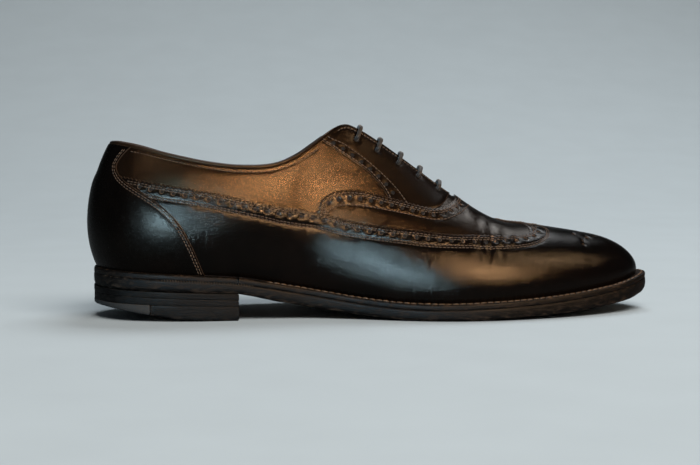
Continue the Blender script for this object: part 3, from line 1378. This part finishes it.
def grid_sheet(name, face, back, mats):
    """Closed sheet between two equal grids; materials are face, back and rim."""
    n, m = face.shape[:2]
    k = n * m
    faces = []
    for i in range(n - 1):
        for j in range(m - 1):
            a = i*m + j
            b, c, d = a + m, a + m + 1, a + 1
            faces += [(a, b, c, d), (k + d, k + c, k + b, k + a)]
    for i in range(n - 1):
        a = i*m
        b = a + m - 1
        faces += [(a, k + a, k + a + m, a + m), (b, b + m, k + b + m, k + b)]
    for j in range(m - 1):
        a = (n-1)*m + j
        faces += [(j, j + 1, k + j + 1, k + j), (a + 1, a, k + a, k + a + 1)]
    face_mats = [0, 1] * ((n - 1) * (m - 1)) + [2] * (2 * (n - 1) + 2 * (m - 1))
    centre = face[n//2, m//2]
    turn = np.cross(face[n//2 + 1, m//2] - centre, face[n//2, m//2 + 1] - centre)
    if turn @ (centre - back[n//2, m//2]) < 0:
        faces = [f[::-1] for f in faces]
    verts = np.vstack([face.reshape(-1, 3), back.reshape(-1, 3)])
    return make_object(name, verts, faces, [MAT[key] for key in mats], face_mats,
                       sharp_deg=50)


def lining_sheet(node, rows, depth):
    base, out = point(rows), outward(rows)
    return grid_sheet(node + "_leather", base - out * depth,
                      base - out * (depth + LINING_THICK), ("flesh", "lining", "lining"))


def build_quarter_lining(side):
    node = "quarter_lining_" + SIDE_NAME[side]
    t = np.linspace(.03, 1.0, 30)
    front = curve(LINING_FRONT, t)[:, 1]
    share = np.sin(np.linspace(0, 1, 90) * math.pi / 2)[:, None]
    s = front[None, :] + (SEAM_S - front[None, :]) * share
    t = np.minimum(np.broadcast_to(t, s.shape), 1 - .02 * smooth(s, 10.05, 10.35))
    rows = np.stack([np.full(s.shape, side), s, t], -1)
    obj = lining_sheet(node, rows, lining_depth(s)[..., None])
    facing_blend(obj, side)
    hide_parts(node)


def build_vamp_lining():
    half, across = 40, 28
    rows = np.empty((2 * half + 1, across + 1, 3))
    for i in range(-half, half + 1):
        _, foot_s, mid_s, mid_t, rear_s, rear_t = curve(VAMP_LINING, abs(i) / half * 8)[0]
        foot, middle = np.array([foot_s, .02]), np.array([mid_s, mid_t])
        rear = np.array([rear_s, rear_t])
        for j in range(across + 1):
            b = j / across
            if b < .5:
                place = foot * (1 - 2*b) + middle * 2*b
            else:
                place = middle * (2 - 2*b) + rear * (2*b - 1)
            rows[i + half, j] = (-1 if i < 0 else 1, max(place[0], 0),
                                 min(max(place[1], .02), 1))
    obj = lining_sheet("vamp_lining", rows, 3.2)
    flex_blend(obj)
    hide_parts("vamp_lining")


# ---------------------------------------------------------------- binding, tongue, laces
def tube_faces(rings, m, first=0):
    """Quads between rings of m vertices, and both end caps."""
    faces = [(first + i*m + j, first + i*m + (j+1) % m, first + (i+1)*m + (j+1) % m,
              first + (i+1)*m + j) for i in range(rings - 1) for j in range(m)]
    faces.append(tuple(first + j for j in range(m))[::-1])
    faces.append(tuple(first + (rings-1)*m + j for j in range(m)))
    return faces


def build_binding(side):
    """Strip turned over the topline, round upper and lining together."""
    outer_depth, half_height, sink, around = .75, 1.75, .55, 20
    s = np.linspace(10.30, 16.0, 170)
    top, out = surface(side, s, 1.0), normal(side, s, .985)
    up = unit(top - surface(side, s, .97))
    half_width = .5 * (lining_depth(s) + 1.0 - outer_depth)
    centres = top - out * (outer_depth + half_width)[:, None] - up * sink
    a = np.arange(around) * 2 * math.pi / around
    verts = (centres[:, None] + out[:, None] * (half_width[:, None] * np.cos(a))[..., None]
             + up[:, None] * (half_height * np.sin(a))[None, :, None])
    verts += out[:, None] * (.10 * np.cos(2 * a) + .06 * np.cos(3 * a))[None, :, None]
    faces = tube_faces(len(s), around)
    if np.cross(out[0], up[0]) @ (centres[1] - centres[0]) < 0:
        faces = [f[::-1] for f in faces]
    wear = np.tile(.35 + .45 * np.clip(np.sin(a), 0, 1)**3, len(s))
    obj = make_object("topline_binding_" + SIDE_NAME[side], verts.reshape(-1, 3), faces,
                      [MAT["binding"]], wear=wear)
    facing_blend(obj, side)
    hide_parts("topline_binding")


def tongue_line(s, depth):
    """Points across the tongue, under one facing, over the opening and under the other."""
    t = np.array([.74, .78, .82, .86, .90, .94])
    medial = surface(-1, s, t) - normal(-1, s, t) * depth
    lateral = (surface(1, s, t) - normal(1, s, t) * depth)[::-1]
    start = medial[-1] + (medial[-1] - medial[-2]) * .55
    end = lateral[0] + (lateral[0] - lateral[1]) * .55
    share = np.linspace(0, 1, 7)[1:-1, None]
    middle = start * (1 - share) + end * share
    middle[:, 2:3] += np.sin(np.pi * share) * .9
    return np.vstack([medial, start[None], middle, end[None], lateral])


def build_tongue():
    s_lines = np.linspace(6.32, 9.86, 66)
    face = np.array([tongue_line(s, 6.25) for s in s_lines])
    back = np.array([tongue_line(s, 8.15) for s in s_lines])
    # the top runs on a little past the last line
    up = unit(face[-1] - face[-6])
    face = np.concatenate([face, [face[-1] + up * mm for mm in (1.2, 2.4, 3.4)]])
    back = np.concatenate([back, [back[-1] + up * mm for mm in (1.2, 2.4, 3.4)]])
    # thinner at the free edge
    middle = (face[-1] + back[-1]) / 2
    face[-1] = middle + (face[-1] - middle) * .45
    back[-1] = middle + (back[-1] - middle) * .45
    # soft puckers along its length
    swell = np.sin(np.pi * np.arange(face.shape[1]) / (face.shape[1] - 1))
    for i in range(len(face)):
        pucker = .28 * math.sin(i * .55) * swell
        face[i, :, 2] += pucker
        back[i, :, 2] += pucker
    obj = grid_sheet("tongue_leather", face, back, ("tongue", "lining", "edge"))
    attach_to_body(obj, "tongue")
    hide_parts("tongue")


def lace_path(side, s):
    """Centre line of a lace bar, up through its eyelet and over to the middle."""
    eye, out = surface(side, s, EYELET_T), normal(side, s, EYELET_T)
    rim, rim_out = surface(side, s, .998), normal(side, s, .99)
    middle = (rim + surface(-side, s, .998)) / 2 + np.array([0, 0, 1.45])
    middle[0] += .25
    points = np.array([
        eye - out * 4.6, eye - out * 2.4, eye - out * .6 + (rim - eye) * .02,
        eye + out * .62 + (rim - eye) * .12, surface(side, s, .94) + normal(side, s, .94) * .95,
        surface(side, s, .965) + normal(side, s, .965) * 1.05, rim + rim_out * 1.15,
        rim * .62 + middle * .38 + np.array([0, 0, .42]), middle])
    beyond = points[-1] + (points[-1] - points[-2]) * np.array([1, 1, 0])
    return even_points(catmull_rom(np.vstack([2*points[0] - points[1], points, beyond]), 7), .42)


def build_laces(side):
    around, radius, relief = 12, 1.12, .13
    a = np.arange(around) * 2 * math.pi / around
    cords, faces, weights, first = [], [], [], 0
    for s in EYELET_S:
        path = lace_path(side, s)
        travel = unit(np.gradient(path, axis=0))
        ref = np.array([1.0, 0, .15])
        across = unit(ref - travel * (travel @ ref)[:, None])
        up = np.cross(travel, across)
        # braid: crossing strands in relief
        turn = np.arange(len(path))[:, None] * 1.45
        swell = radius + relief * np.sin(a[None] * 4 + turn) * np.sin(a[None] * 4 - turn)
        verts = (path[:, None] + across[:, None] * (swell * np.cos(a))[..., None]
                 + up[:, None] * (swell * np.sin(a))[..., None]).reshape(-1, 3)
        faces += tube_faces(len(path), around, first)
        first += len(verts)
        cords.append(verts)
        # a bar follows its facing at the eyelet and stays put at the middle
        y_middle = (surface(-1, s, .998)[1] + surface(1, s, .998)[1]) / 2
        y_eye = surface(side, s, .965)[1]
        weights.append(facing_weight(to_world(verts), side)
                       * smooth(verts[:, 1] * np.sign(y_eye - y_middle),
                                y_middle * np.sign(y_eye - y_middle),
                                y_eye * np.sign(y_eye - y_middle)))
    obj = make_object("lace_" + SIDE_NAME[side], np.vstack(cords), faces, [MAT["lace"]],
                      sharp_deg=None)
    facing_blend(obj, side, np.concatenate(weights))
    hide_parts("lace")


# ---------------------------------------------------------------- bottom
# levels above the feather edge
SOLE_TOP, WELT_UNDER, CORK_UNDER, CORK_TOP = -3.25, -3.12, -3.05, .2
INSOLE_UNDER, INSOLE_TOP, SOCK_UNDER, SOCK_TOP = .3, 2.6, 2.66, 3.6
BREAST_X, BREAST_R = 192, 120.0         # centre and radius of the hollow heel breast
SOCK_CENTRE, SOCK_R = np.array([30.0, 0.0]), 62
# edge sections from the underside up: inset, share of the height, wear
WELT_RINGS = [(.30, 0, .5), (.06, .10, .35), (0, .30, .3), (.02, .58, .35), (.14, .80, .6),
              (.42, .94, .95), (1.0, 1, 1.0)]
SOLE_RINGS = [(2.3, -.02, .8), (1.15, .02, .95), (.48, .12, .8), (.12, .30, .5), (0, .52, .3),
              (.02, .80, .3), (.10, .95, .4), (.34, 1, .5)]


def round_rings(radius, wear=(.9, .5, .3, .5, .9)):
    """Section with both corners rounded."""
    return [(radius, 0, wear[0]), (radius * .42, .05, wear[1] + .3),
            (radius * .10, .18, wear[1]), (0, .42, wear[2]), (.02, .62, wear[2]),
            (radius * .12, .84, wear[3]), (radius * .45, .955, wear[3] + .3),
            (radius, 1, wear[4])]


def top_piece_rings(*wear):
    places = ((.9, 0), (.4, .06), (.1, .2), (0, .5), (0, .85), (.07, .96), (.18, 1))
    return [(inset, share, worn) for (inset, share), worn in zip(places, wear)]


def above_feather(lift):
    return lambda plan: feather_z(plan[:, 0]) + lift


def below(table, drop=0.0):
    return lambda plan: np.interp(plan[:, 0], table[:, 0], table[:, 1]) - drop


def laps(count):
    """s round the whole shoe: medial to 16 at the heel, then lateral back to the toe."""
    return np.linspace(0, 2 * HEEL, count, endpoint=False)


def outline(stand_out, count):
    """Plan loop, clockwise from above; stand_out(s) is its distance from the feather edge."""
    lap = laps(count)
    out = np.empty((count, 2))
    for side, own in ((-1, lap <= HEEL), (1, lap > HEEL)):
        s = lap[own] if side < 0 else 2 * HEEL - lap[own]
        out[own] = base_xy(side, s) + base_out(side, s) * np.asarray(stand_out(s))[:, None]
    return out


def sole_loop(stand_out, step):
    """The outline in even steps."""
    plan = outline(stand_out, 600)
    return even_points(np.vstack([plan, plan[:1]]), step)[:-1]


def inset_d(s):
    s = np.asarray(s, float)
    return -4.3 - 1.9 * np.clip((s - 10.6) / 1.2, 0, 1)


def kept_run(loop, keep):
    """The kept part of a loop as one unbroken run."""
    if keep[0] and keep[-1]:
        shift = np.where(~keep)[0][-1] + 1
        loop, keep = np.roll(loop, -shift, 0), np.roll(keep, -shift)
    return loop[keep]


def breast_loop(stand_out):
    """Heel outline: the rear of the sole outline, closed by the hollow breast."""
    def breast_x(y):
        return BREAST_X - np.sqrt(np.maximum(BREAST_R**2 - y**2, 0))
    loop = sole_loop(stand_out, 1.2)
    run = kept_run(loop, loop[:, 0] < breast_x(loop[:, 1]))
    y0, y1 = run[-1, 1], run[0, 1]
    y = np.linspace(y0, y1, int(abs(y1 - y0) / 1.6) + 2)[1:-1]
    return np.vstack([run, np.c_[breast_x(y), y]])


def straight_cut(loop, x, keep_rear):
    """Loop clipped straight across at x."""
    run = kept_run(loop, loop[:, 0] < x if keep_rear else loop[:, 0] > x)
    y0, y1 = run[-1, 1], run[0, 1]
    y = np.linspace(y0, y1, max(3, int(abs(y1 - y0) / 2) + 2))
    return np.vstack([run, np.c_[np.full(len(y), x), y]])


def sock_loop():
    """Heel sock: the rear of the insole, closed by a round front."""
    loop = sole_loop(lambda s: inset_d(s) - .7, 2.2)
    run = kept_run(loop, np.linalg.norm(loop - SOCK_CENTRE, axis=1) < SOCK_R)
    start, end = [math.atan2(p[1] - SOCK_CENTRE[1], p[0] - SOCK_CENTRE[0])
                  for p in (run[-1], run[0])]
    angles = np.linspace(start, end, 26)[1:-1]
    return np.vstack([run, np.c_[SOCK_CENTRE[0] + SOCK_R * np.cos(angles),
                                 SOCK_CENTRE[1] + SOCK_R * np.sin(angles)]])


def cap_mesh(loop, step):
    """Points inside a plan loop, and counter-clockwise triangles over loop and points."""
    lo, hi = loop.min(0), loop.max(0)
    columns = []
    for k, x in enumerate(np.arange(lo[0], hi[0], step)):
        y = np.arange(lo[1] + (step / 2 if k % 2 else 0), hi[1], step)
        columns.append(np.c_[np.full(len(y), x), y])
    inner = np.vstack(columns)
    inner = inner[inside(inner, loop)]
    inner = inner[~near(inner, loop, step * .5)]
    points = np.vstack([loop, inner])
    _, faces, sources = triangulate(points, [list(range(len(loop)))])
    tri = np.array([[sources[i][0] for i in f] for f in faces
                    if all(len(sources[i]) for i in f)], int)
    tri = tri[inside(points[tri].mean(1), loop)]
    first, second = (points[tri[:, k]] - points[tri[:, 0]] for k in (1, 2))
    clockwise = first[:, 0] * second[:, 1] - first[:, 1] * second[:, 0] < 0
    tri[clockwise] = tri[clockwise][:, ::-1]
    return inner, tri


def layer(name, nodes, loop, low, high, rings, mats, slot, step, attach=ride_root,
          toe_spread=0):
    """Solid layer between two height functions over a clockwise plan loop.
    mats are side, underside and top; toe_spread widens the ring insets at the toe."""
    travel = unit(np.roll(loop, -1, 0) - np.roll(loop, 1, 0))
    out = np.c_[-travel[:, 1], travel[:, 0]]
    spread = (1 + toe_spread * smooth(loop[:, 0], 290, 305))[:, None]
    n, k = len(loop), len(rings)
    verts, wear = [], []
    for inset, share, worn in rings:
        plan = loop - out * (inset * spread)
        verts.append(np.c_[plan, low(plan) * (1 - share) + high(plan) * share])
        wear += [worn] * n
    faces = [((i+1)*n + j, (i+1)*n + (j+1) % n, i*n + (j+1) % n, i*n + j)
             for i in range(k - 1) for j in range(n)]
    face_mats = [0] * len(faces)
    inner_first = k * n
    for mat, ring, height, worn in ((1, 0, low, .5), (2, k - 1, high, .3)):
        inner, tri = cap_mesh(verts[ring][:, :2], step)
        number = np.r_[ring * n + np.arange(n), inner_first + np.arange(len(inner))]
        verts.append(np.c_[inner, height(inner)])
        wear += [worn] * len(inner)
        tri = number[tri]
        faces += [tuple(f) for f in (tri[:, ::-1] if mat == 1 else tri)]
        face_mats += [mat] * len(tri)
        inner_first += len(inner)
    obj = make_object(name, np.vstack(verts), faces, [MAT[key] for key in mats],
                      face_mats, sharp_deg=40, wear=wear)
    attach(obj)
    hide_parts(*nodes)


def build_bottom():
    layer("outsole_leather", ("outsole_forepart", "outsole_rearpart"), sole_loop(edge_d, 1.7),
          below(TREAD), above_feather(SOLE_TOP), SOLE_RINGS,
          ("sole_edge", "sole_bottom", "sole_edge"), "sole_leather", step=4.0,
          attach=flex_blend, toe_spread=1.5)
    # the welt in front and the heel rand behind meet at x = 76
    welt = dict(low=above_feather(WELT_UNDER), high=above_feather(0), rings=WELT_RINGS,
                mats=("welt", "flesh", "welt"), slot="welt_leather", step=4.0)
    layer("welt_leather", ("welt",),
          straight_cut(sole_loop(lambda s: edge_d(s) - .15, 1.7), 76.1, keep_rear=False),
          attach=flex_blend, toe_spread=1.6, **welt)
    layer("heel_rand_leather", ("heel_rand",),
          straight_cut(sole_loop(lambda s: edge_d(s) - .1, 1.7), 75.9, keep_rear=True), **welt)
    # heel: two lifts, then the top piece in front and the rubber tip behind
    heel = breast_loop(edge_d)
    lift = dict(rings=round_rings(.16, (.5, .3, .2, .3, .5)), mats=("heel",) * 3,
                slot="heel_leather", step=5)
    layer("heel_lift_upper_leather", ("heel_lift_upper",), heel, below(LIFT_UPPER),
          below(TREAD, .12), **lift)
    layer("heel_lift_lower_leather", ("heel_lift_lower",),
          breast_loop(lambda s: edge_d(s) - .12), below(LIFT_LOWER), below(LIFT_UPPER, .08),
          **lift)
    layer("top_piece_leather", ("top_piece",), straight_cut(heel, 29.6, keep_rear=False),
          below(GROUND), below(LIFT_LOWER, .06),
          top_piece_rings(1.0, .9, .6, .3, .3, .4, .5), ("heel", "sole_bottom", "heel"),
          "heel_leather", step=4)
    layer("rubber_tip", ("rubber_heel_tip",), straight_cut(heel, 29.3, keep_rear=True),
          below(GROUND), below(LIFT_LOWER, .06),
          top_piece_rings(.6, .5, .3, .2, .2, .2, .2), ("rubber",) * 3, "rubber", step=4)
    layer("insole_leather", ("insole",), sole_loop(inset_d, 2.4), above_feather(INSOLE_UNDER),
          above_feather(INSOLE_TOP), round_rings(.5), ("insole", "flesh", "insole"),
          "insole_leather", step=5, attach=flex_blend)
    layer("cork_filler_crumb", ("cork_filler",), sole_loop(lambda s: inset_d(s) - 3.4, 2.6),
          above_feather(CORK_UNDER), above_feather(CORK_TOP), round_rings(.5), ("cork",) * 3,
          "cork", step=5, attach=flex_blend)
    layer("heel_sock_leather", ("heel_sock",), sock_loop(), above_feather(SOCK_UNDER),
          above_feather(SOCK_TOP), round_rings(.4), ("sock", "flesh", "sock"),
          "insole_leather", step=3.5)


def build_welt_stitch():
    """Stitching on top of the welt, from waist to waist round the toe."""
    waist_s, pitch, half_gap = 10.9, 3.7, .16
    lap = laps(2400)
    plan = outline(lambda s: edge_d(s) - 2.15, 2400)
    plan = np.vstack([plan[lap > 2 * HEEL - waist_s], plan[lap < waist_s]])
    plan = plan[plan[:, 0] > 79]
    steps = even_points(np.c_[plan, feather_z(plan[:, 0]) + .10], pitch)
    gap = unit(steps[1:] - steps[:-1]) * half_gap
    starts, stops = steps[:-1] + gap, steps[1:] - gap
    starts[:, 2] -= .12
    stops[:, 2] -= .12
    jitter = RNG.normal(0, .05, starts.shape)
    obj = thread_object("stitching_welt", starts + jitter, stops + jitter,
                        np.tile([0, 0, 1.0], (len(starts), 1)), "welt_thread", radius=.52,
                        flat=.85, sides=8)
    flex_blend(obj)


def build_seat_marks(name, s_from, s_to, pitch, half_length, radius):
    """Short upright marks where the heel seat meets the outsole, on both sides."""
    lap = laps(4800)
    plan = outline(lambda s: edge_d(s) + .02, 4800)
    plan = plan[((lap > s_from) & (lap < s_to))
                | ((lap > 2 * HEEL - s_to) & (lap < 2 * HEEL - s_from))]
    breaks = np.where(np.linalg.norm(np.diff(plan, axis=0), axis=1) > 3)[0] + 1
    centres, ups = [], []
    for run in np.split(plan, breaks):
        steps = even_points(run, pitch)
        travel = unit(np.gradient(steps, axis=0))
        out = np.c_[-travel[:, 1], travel[:, 0]]
        centres.append(np.c_[steps - out * .10, feather_z(steps[:, 0]) + SOLE_TOP])
        ups.append(np.c_[out, np.zeros(len(out))])
    centres = np.vstack(centres)
    jitter = RNG.normal(0, .06, centres.shape)
    obj = thread_object(name, centres + [0, 0, -half_length] + jitter,
                        centres + [0, 0, half_length] + jitter, np.vstack(ups), "ticks",
                        radius=radius, flat=.7, sides=8)
    ride_root(obj)


def build_bar_tack():
    """Five closely laid thread bars across the foot of the lacing opening."""
    s = 6.61 - .026 * np.arange(5)
    medial, lateral = (surface(side, s, .982) + normal(side, s, .982) * .14
                       for side in (-1, 1))
    obj = thread_object("stitching_bar_tack", medial, lateral, np.tile([.35, 0, .94], (5, 1)),
                        "welt", radius=.25, flat=.8, sides=8)
    ride_root(obj)


def build_seams():
    for seam, batches in seams.items():
        starts, stops, ups = (np.vstack(parts) for parts in zip(*batches))
        obj = thread_object("stitching_" + seam, starts, stops, ups, "thread", radius=.26,
                            flat=.8, sides=6)
        if seam == "ball":
            flex_blend(obj)
        elif seam == "rear":
            ride_root(obj)
        else:
            facing_blend(obj, -1 if seam == "medial" else 1)


def dress(node, mat):
    """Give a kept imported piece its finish."""
    obj = next((o for o in bpy.data.objects if o.type == "MESH"
                and (o.name == node or o.name.startswith(node + "."))), None)
    if obj is None:
        return
    if not obj.material_slots:
        obj.data.materials.append(mat)
    for slot in obj.material_slots:
        slot.material = mat


# ---------------------------------------------------------------- build
build_wing()
build_vamp()
for _side in (-1, 1):
    build_quarter(_side)
    build_facing(_side)
build_counter()
for _side in (-1, 1):
    build_quarter_lining(_side)
build_vamp_lining()
for _side in (-1, 1):
    build_binding(_side)
build_tongue()
for _side in (-1, 1):
    build_laces(_side)
build_bottom()
build_welt_stitch()
build_seat_marks("heel_seat_ticks", 11.2, 13.0, pitch=1.45, half_length=.62, radius=.26)
build_seat_marks("heel_seat_pegs", 13.1, 14.6, pitch=4.3, half_length=.16, radius=.34)
build_bar_tack()
build_seams()
for _node, _mat in (("steel_shank", "steel"), ("heel_nails", "brass"),
                    ("eyelets_medial", "brass"), ("eyelets_lateral", "brass"),
                    ("heel_stiffener", "stiffener"), ("toe_puff", "stiffener")):
    dress(_node, MAT[_mat])


# ---------------------------------------------------------------- stage (metres)
def floor_paper(color=(.56, .62, .64)):
    g = Shader("floor_paper")
    paper = g.ramp(g.noise(scale=.02, detail=3, rough=.5), (.3, shade(color, .97)), (.7, color))
    # darker where it is mirrored in the leather's gloss
    rays = g.node("ShaderNodeLightPath")
    paper = g.mix(rays.outputs["Is Glossy Ray"], paper, shade(color, .20))
    return g.finish(paper, .85, spec=.25)


def build_stage():
    """Plain paper sweep: flat floor, one wide bend up into the backdrop."""
    half_width, bend_y, bend_r = 7.0, .5, 2.4
    wall_y = bend_y + bend_r
    profile = [(-9.0 + k * .4, 0.0) for k in range(24)]
    profile += [(bend_y + bend_r * math.sin(a), bend_r - bend_r * math.cos(a))
                for a in np.linspace(0, math.pi / 2, 30)]
    profile += [(wall_y, 3.4), (wall_y, 4.5)]
    m = len(profile)
    mesh = bpy.data.meshes.new("floor")
    mesh.from_pydata([(x, y, z) for x in (-half_width, half_width) for y, z in profile], [],
                     [(k, m + k, m + k + 1, k + 1) for k in range(m - 1)])
    mesh.materials.append(floor_paper())
    mesh.polygons.foreach_set("use_smooth", np.ones(len(mesh.polygons), bool))
    obj = bpy.data.objects.new("floor", mesh)
    bpy.context.scene.collection.objects.link(obj)
    return obj


def softbox(name, azimuth, elevation, dist, size, power, color, target=(0, 0, .05)):
    """Area light aimed at a target; azimuth turns from -y towards the toe, in degrees."""
    azimuth, elevation = math.radians(azimuth), math.radians(elevation)
    light = bpy.data.lights.new(name, "AREA")
    light.shape = "RECTANGLE"
    light.size, light.size_y = size
    light.energy, light.color = power, color
    obj = bpy.data.objects.new(name, light)
    target = Vector(target)
    obj.location = target + dist * Vector((math.sin(azimuth) * math.cos(elevation),
                                           -math.cos(azimuth) * math.cos(elevation),
                                           math.sin(elevation)))
    obj.rotation_euler = (target - obj.location).to_track_quat("-Z", "Y").to_euler()
    bpy.context.scene.collection.objects.link(obj)
    return obj


def build_lights(floor):
    narrow = [
        softbox("key_warm", azimuth=22, elevation=22, dist=1.4, size=(.34, .10), power=19,
                color=(1.0, .60, .30)),
        softbox("kick_warm", azimuth=58, elevation=38, dist=1.4, size=(.20, .14), power=4.5,
                color=(1.0, .66, .36)),
        softbox("front_cool", azimuth=-21, elevation=5, dist=1.5, size=(.36, .085), power=18,
                color=(.50, .80, 1.0), target=(0, 0, .06)),
        softbox("sheen_warm", azimuth=-38, elevation=46, dist=1.4, size=(.14, .10), power=1.2,
                color=(1.0, .74, .48))]
    room = softbox("room_front", azimuth=20, elevation=58, dist=2.2, size=(1.8, 1.2), power=38,
                   color=(1.0, .97, .94))
    softbox("top_soft", azimuth=150, elevation=62, dist=1.9, size=(1.1, .7), power=17,
            color=(.90, .95, 1.0))
    softbox("back_wash", azimuth=180, elevation=52, dist=1.6, size=(3.2, .7), power=40,
            color=(.84, .95, 1.0), target=(0, 2.4, .6))
    # the narrow softboxes light only the shoe, the wide front one only the paper
    shoe = bpy.data.collections.new("lit_shoe")
    for obj in bpy.context.scene.objects:
        if obj.type == "MESH" and obj.name != "floor":
            shoe.objects.link(obj)
    for light in narrow:
        light.light_linking.receiver_collection = shoe
    paper = bpy.data.collections.new("lit_paper")
    paper.objects.link(floor)
    room.light_linking.receiver_collection = paper


def build_world():
    """Pale sky, bright to the camera and faint as a light."""
    world = bpy.data.worlds.new("studio")
    bpy.context.scene.world = world
    world.use_nodes = True
    tree = world.node_tree
    background = tree.nodes["Background"]
    background.inputs[0].default_value = (.60, .70, .78, 1)
    rays = tree.nodes.new("ShaderNodeLightPath")
    strength = tree.nodes.new("ShaderNodeMapRange")
    tree.links.new(rays.outputs["Is Camera Ray"], strength.inputs["Value"])
    strength.inputs["To Min"].default_value = .05
    strength.inputs["To Max"].default_value = .55
    tree.links.new(strength.outputs["Result"], background.inputs[1])


def build_camera():
    camera = bpy.data.cameras.new("camera")
    camera.sensor_width, camera.lens = 36, 76.3
    camera.clip_start, camera.clip_end = .05, 30
    obj = bpy.data.objects.new("camera", camera)
    obj.location = (-.1018, -.8160, .115)
    obj.rotation_euler = (math.radians(85), 0, math.radians(-6.3))
    bpy.context.scene.collection.objects.link(obj)
    bpy.context.scene.camera = obj


build_lights(build_stage())
build_world()
bpy.context.scene.view_settings.view_transform = "Standard"
build_camera()

bpy.context.view_layer.update()
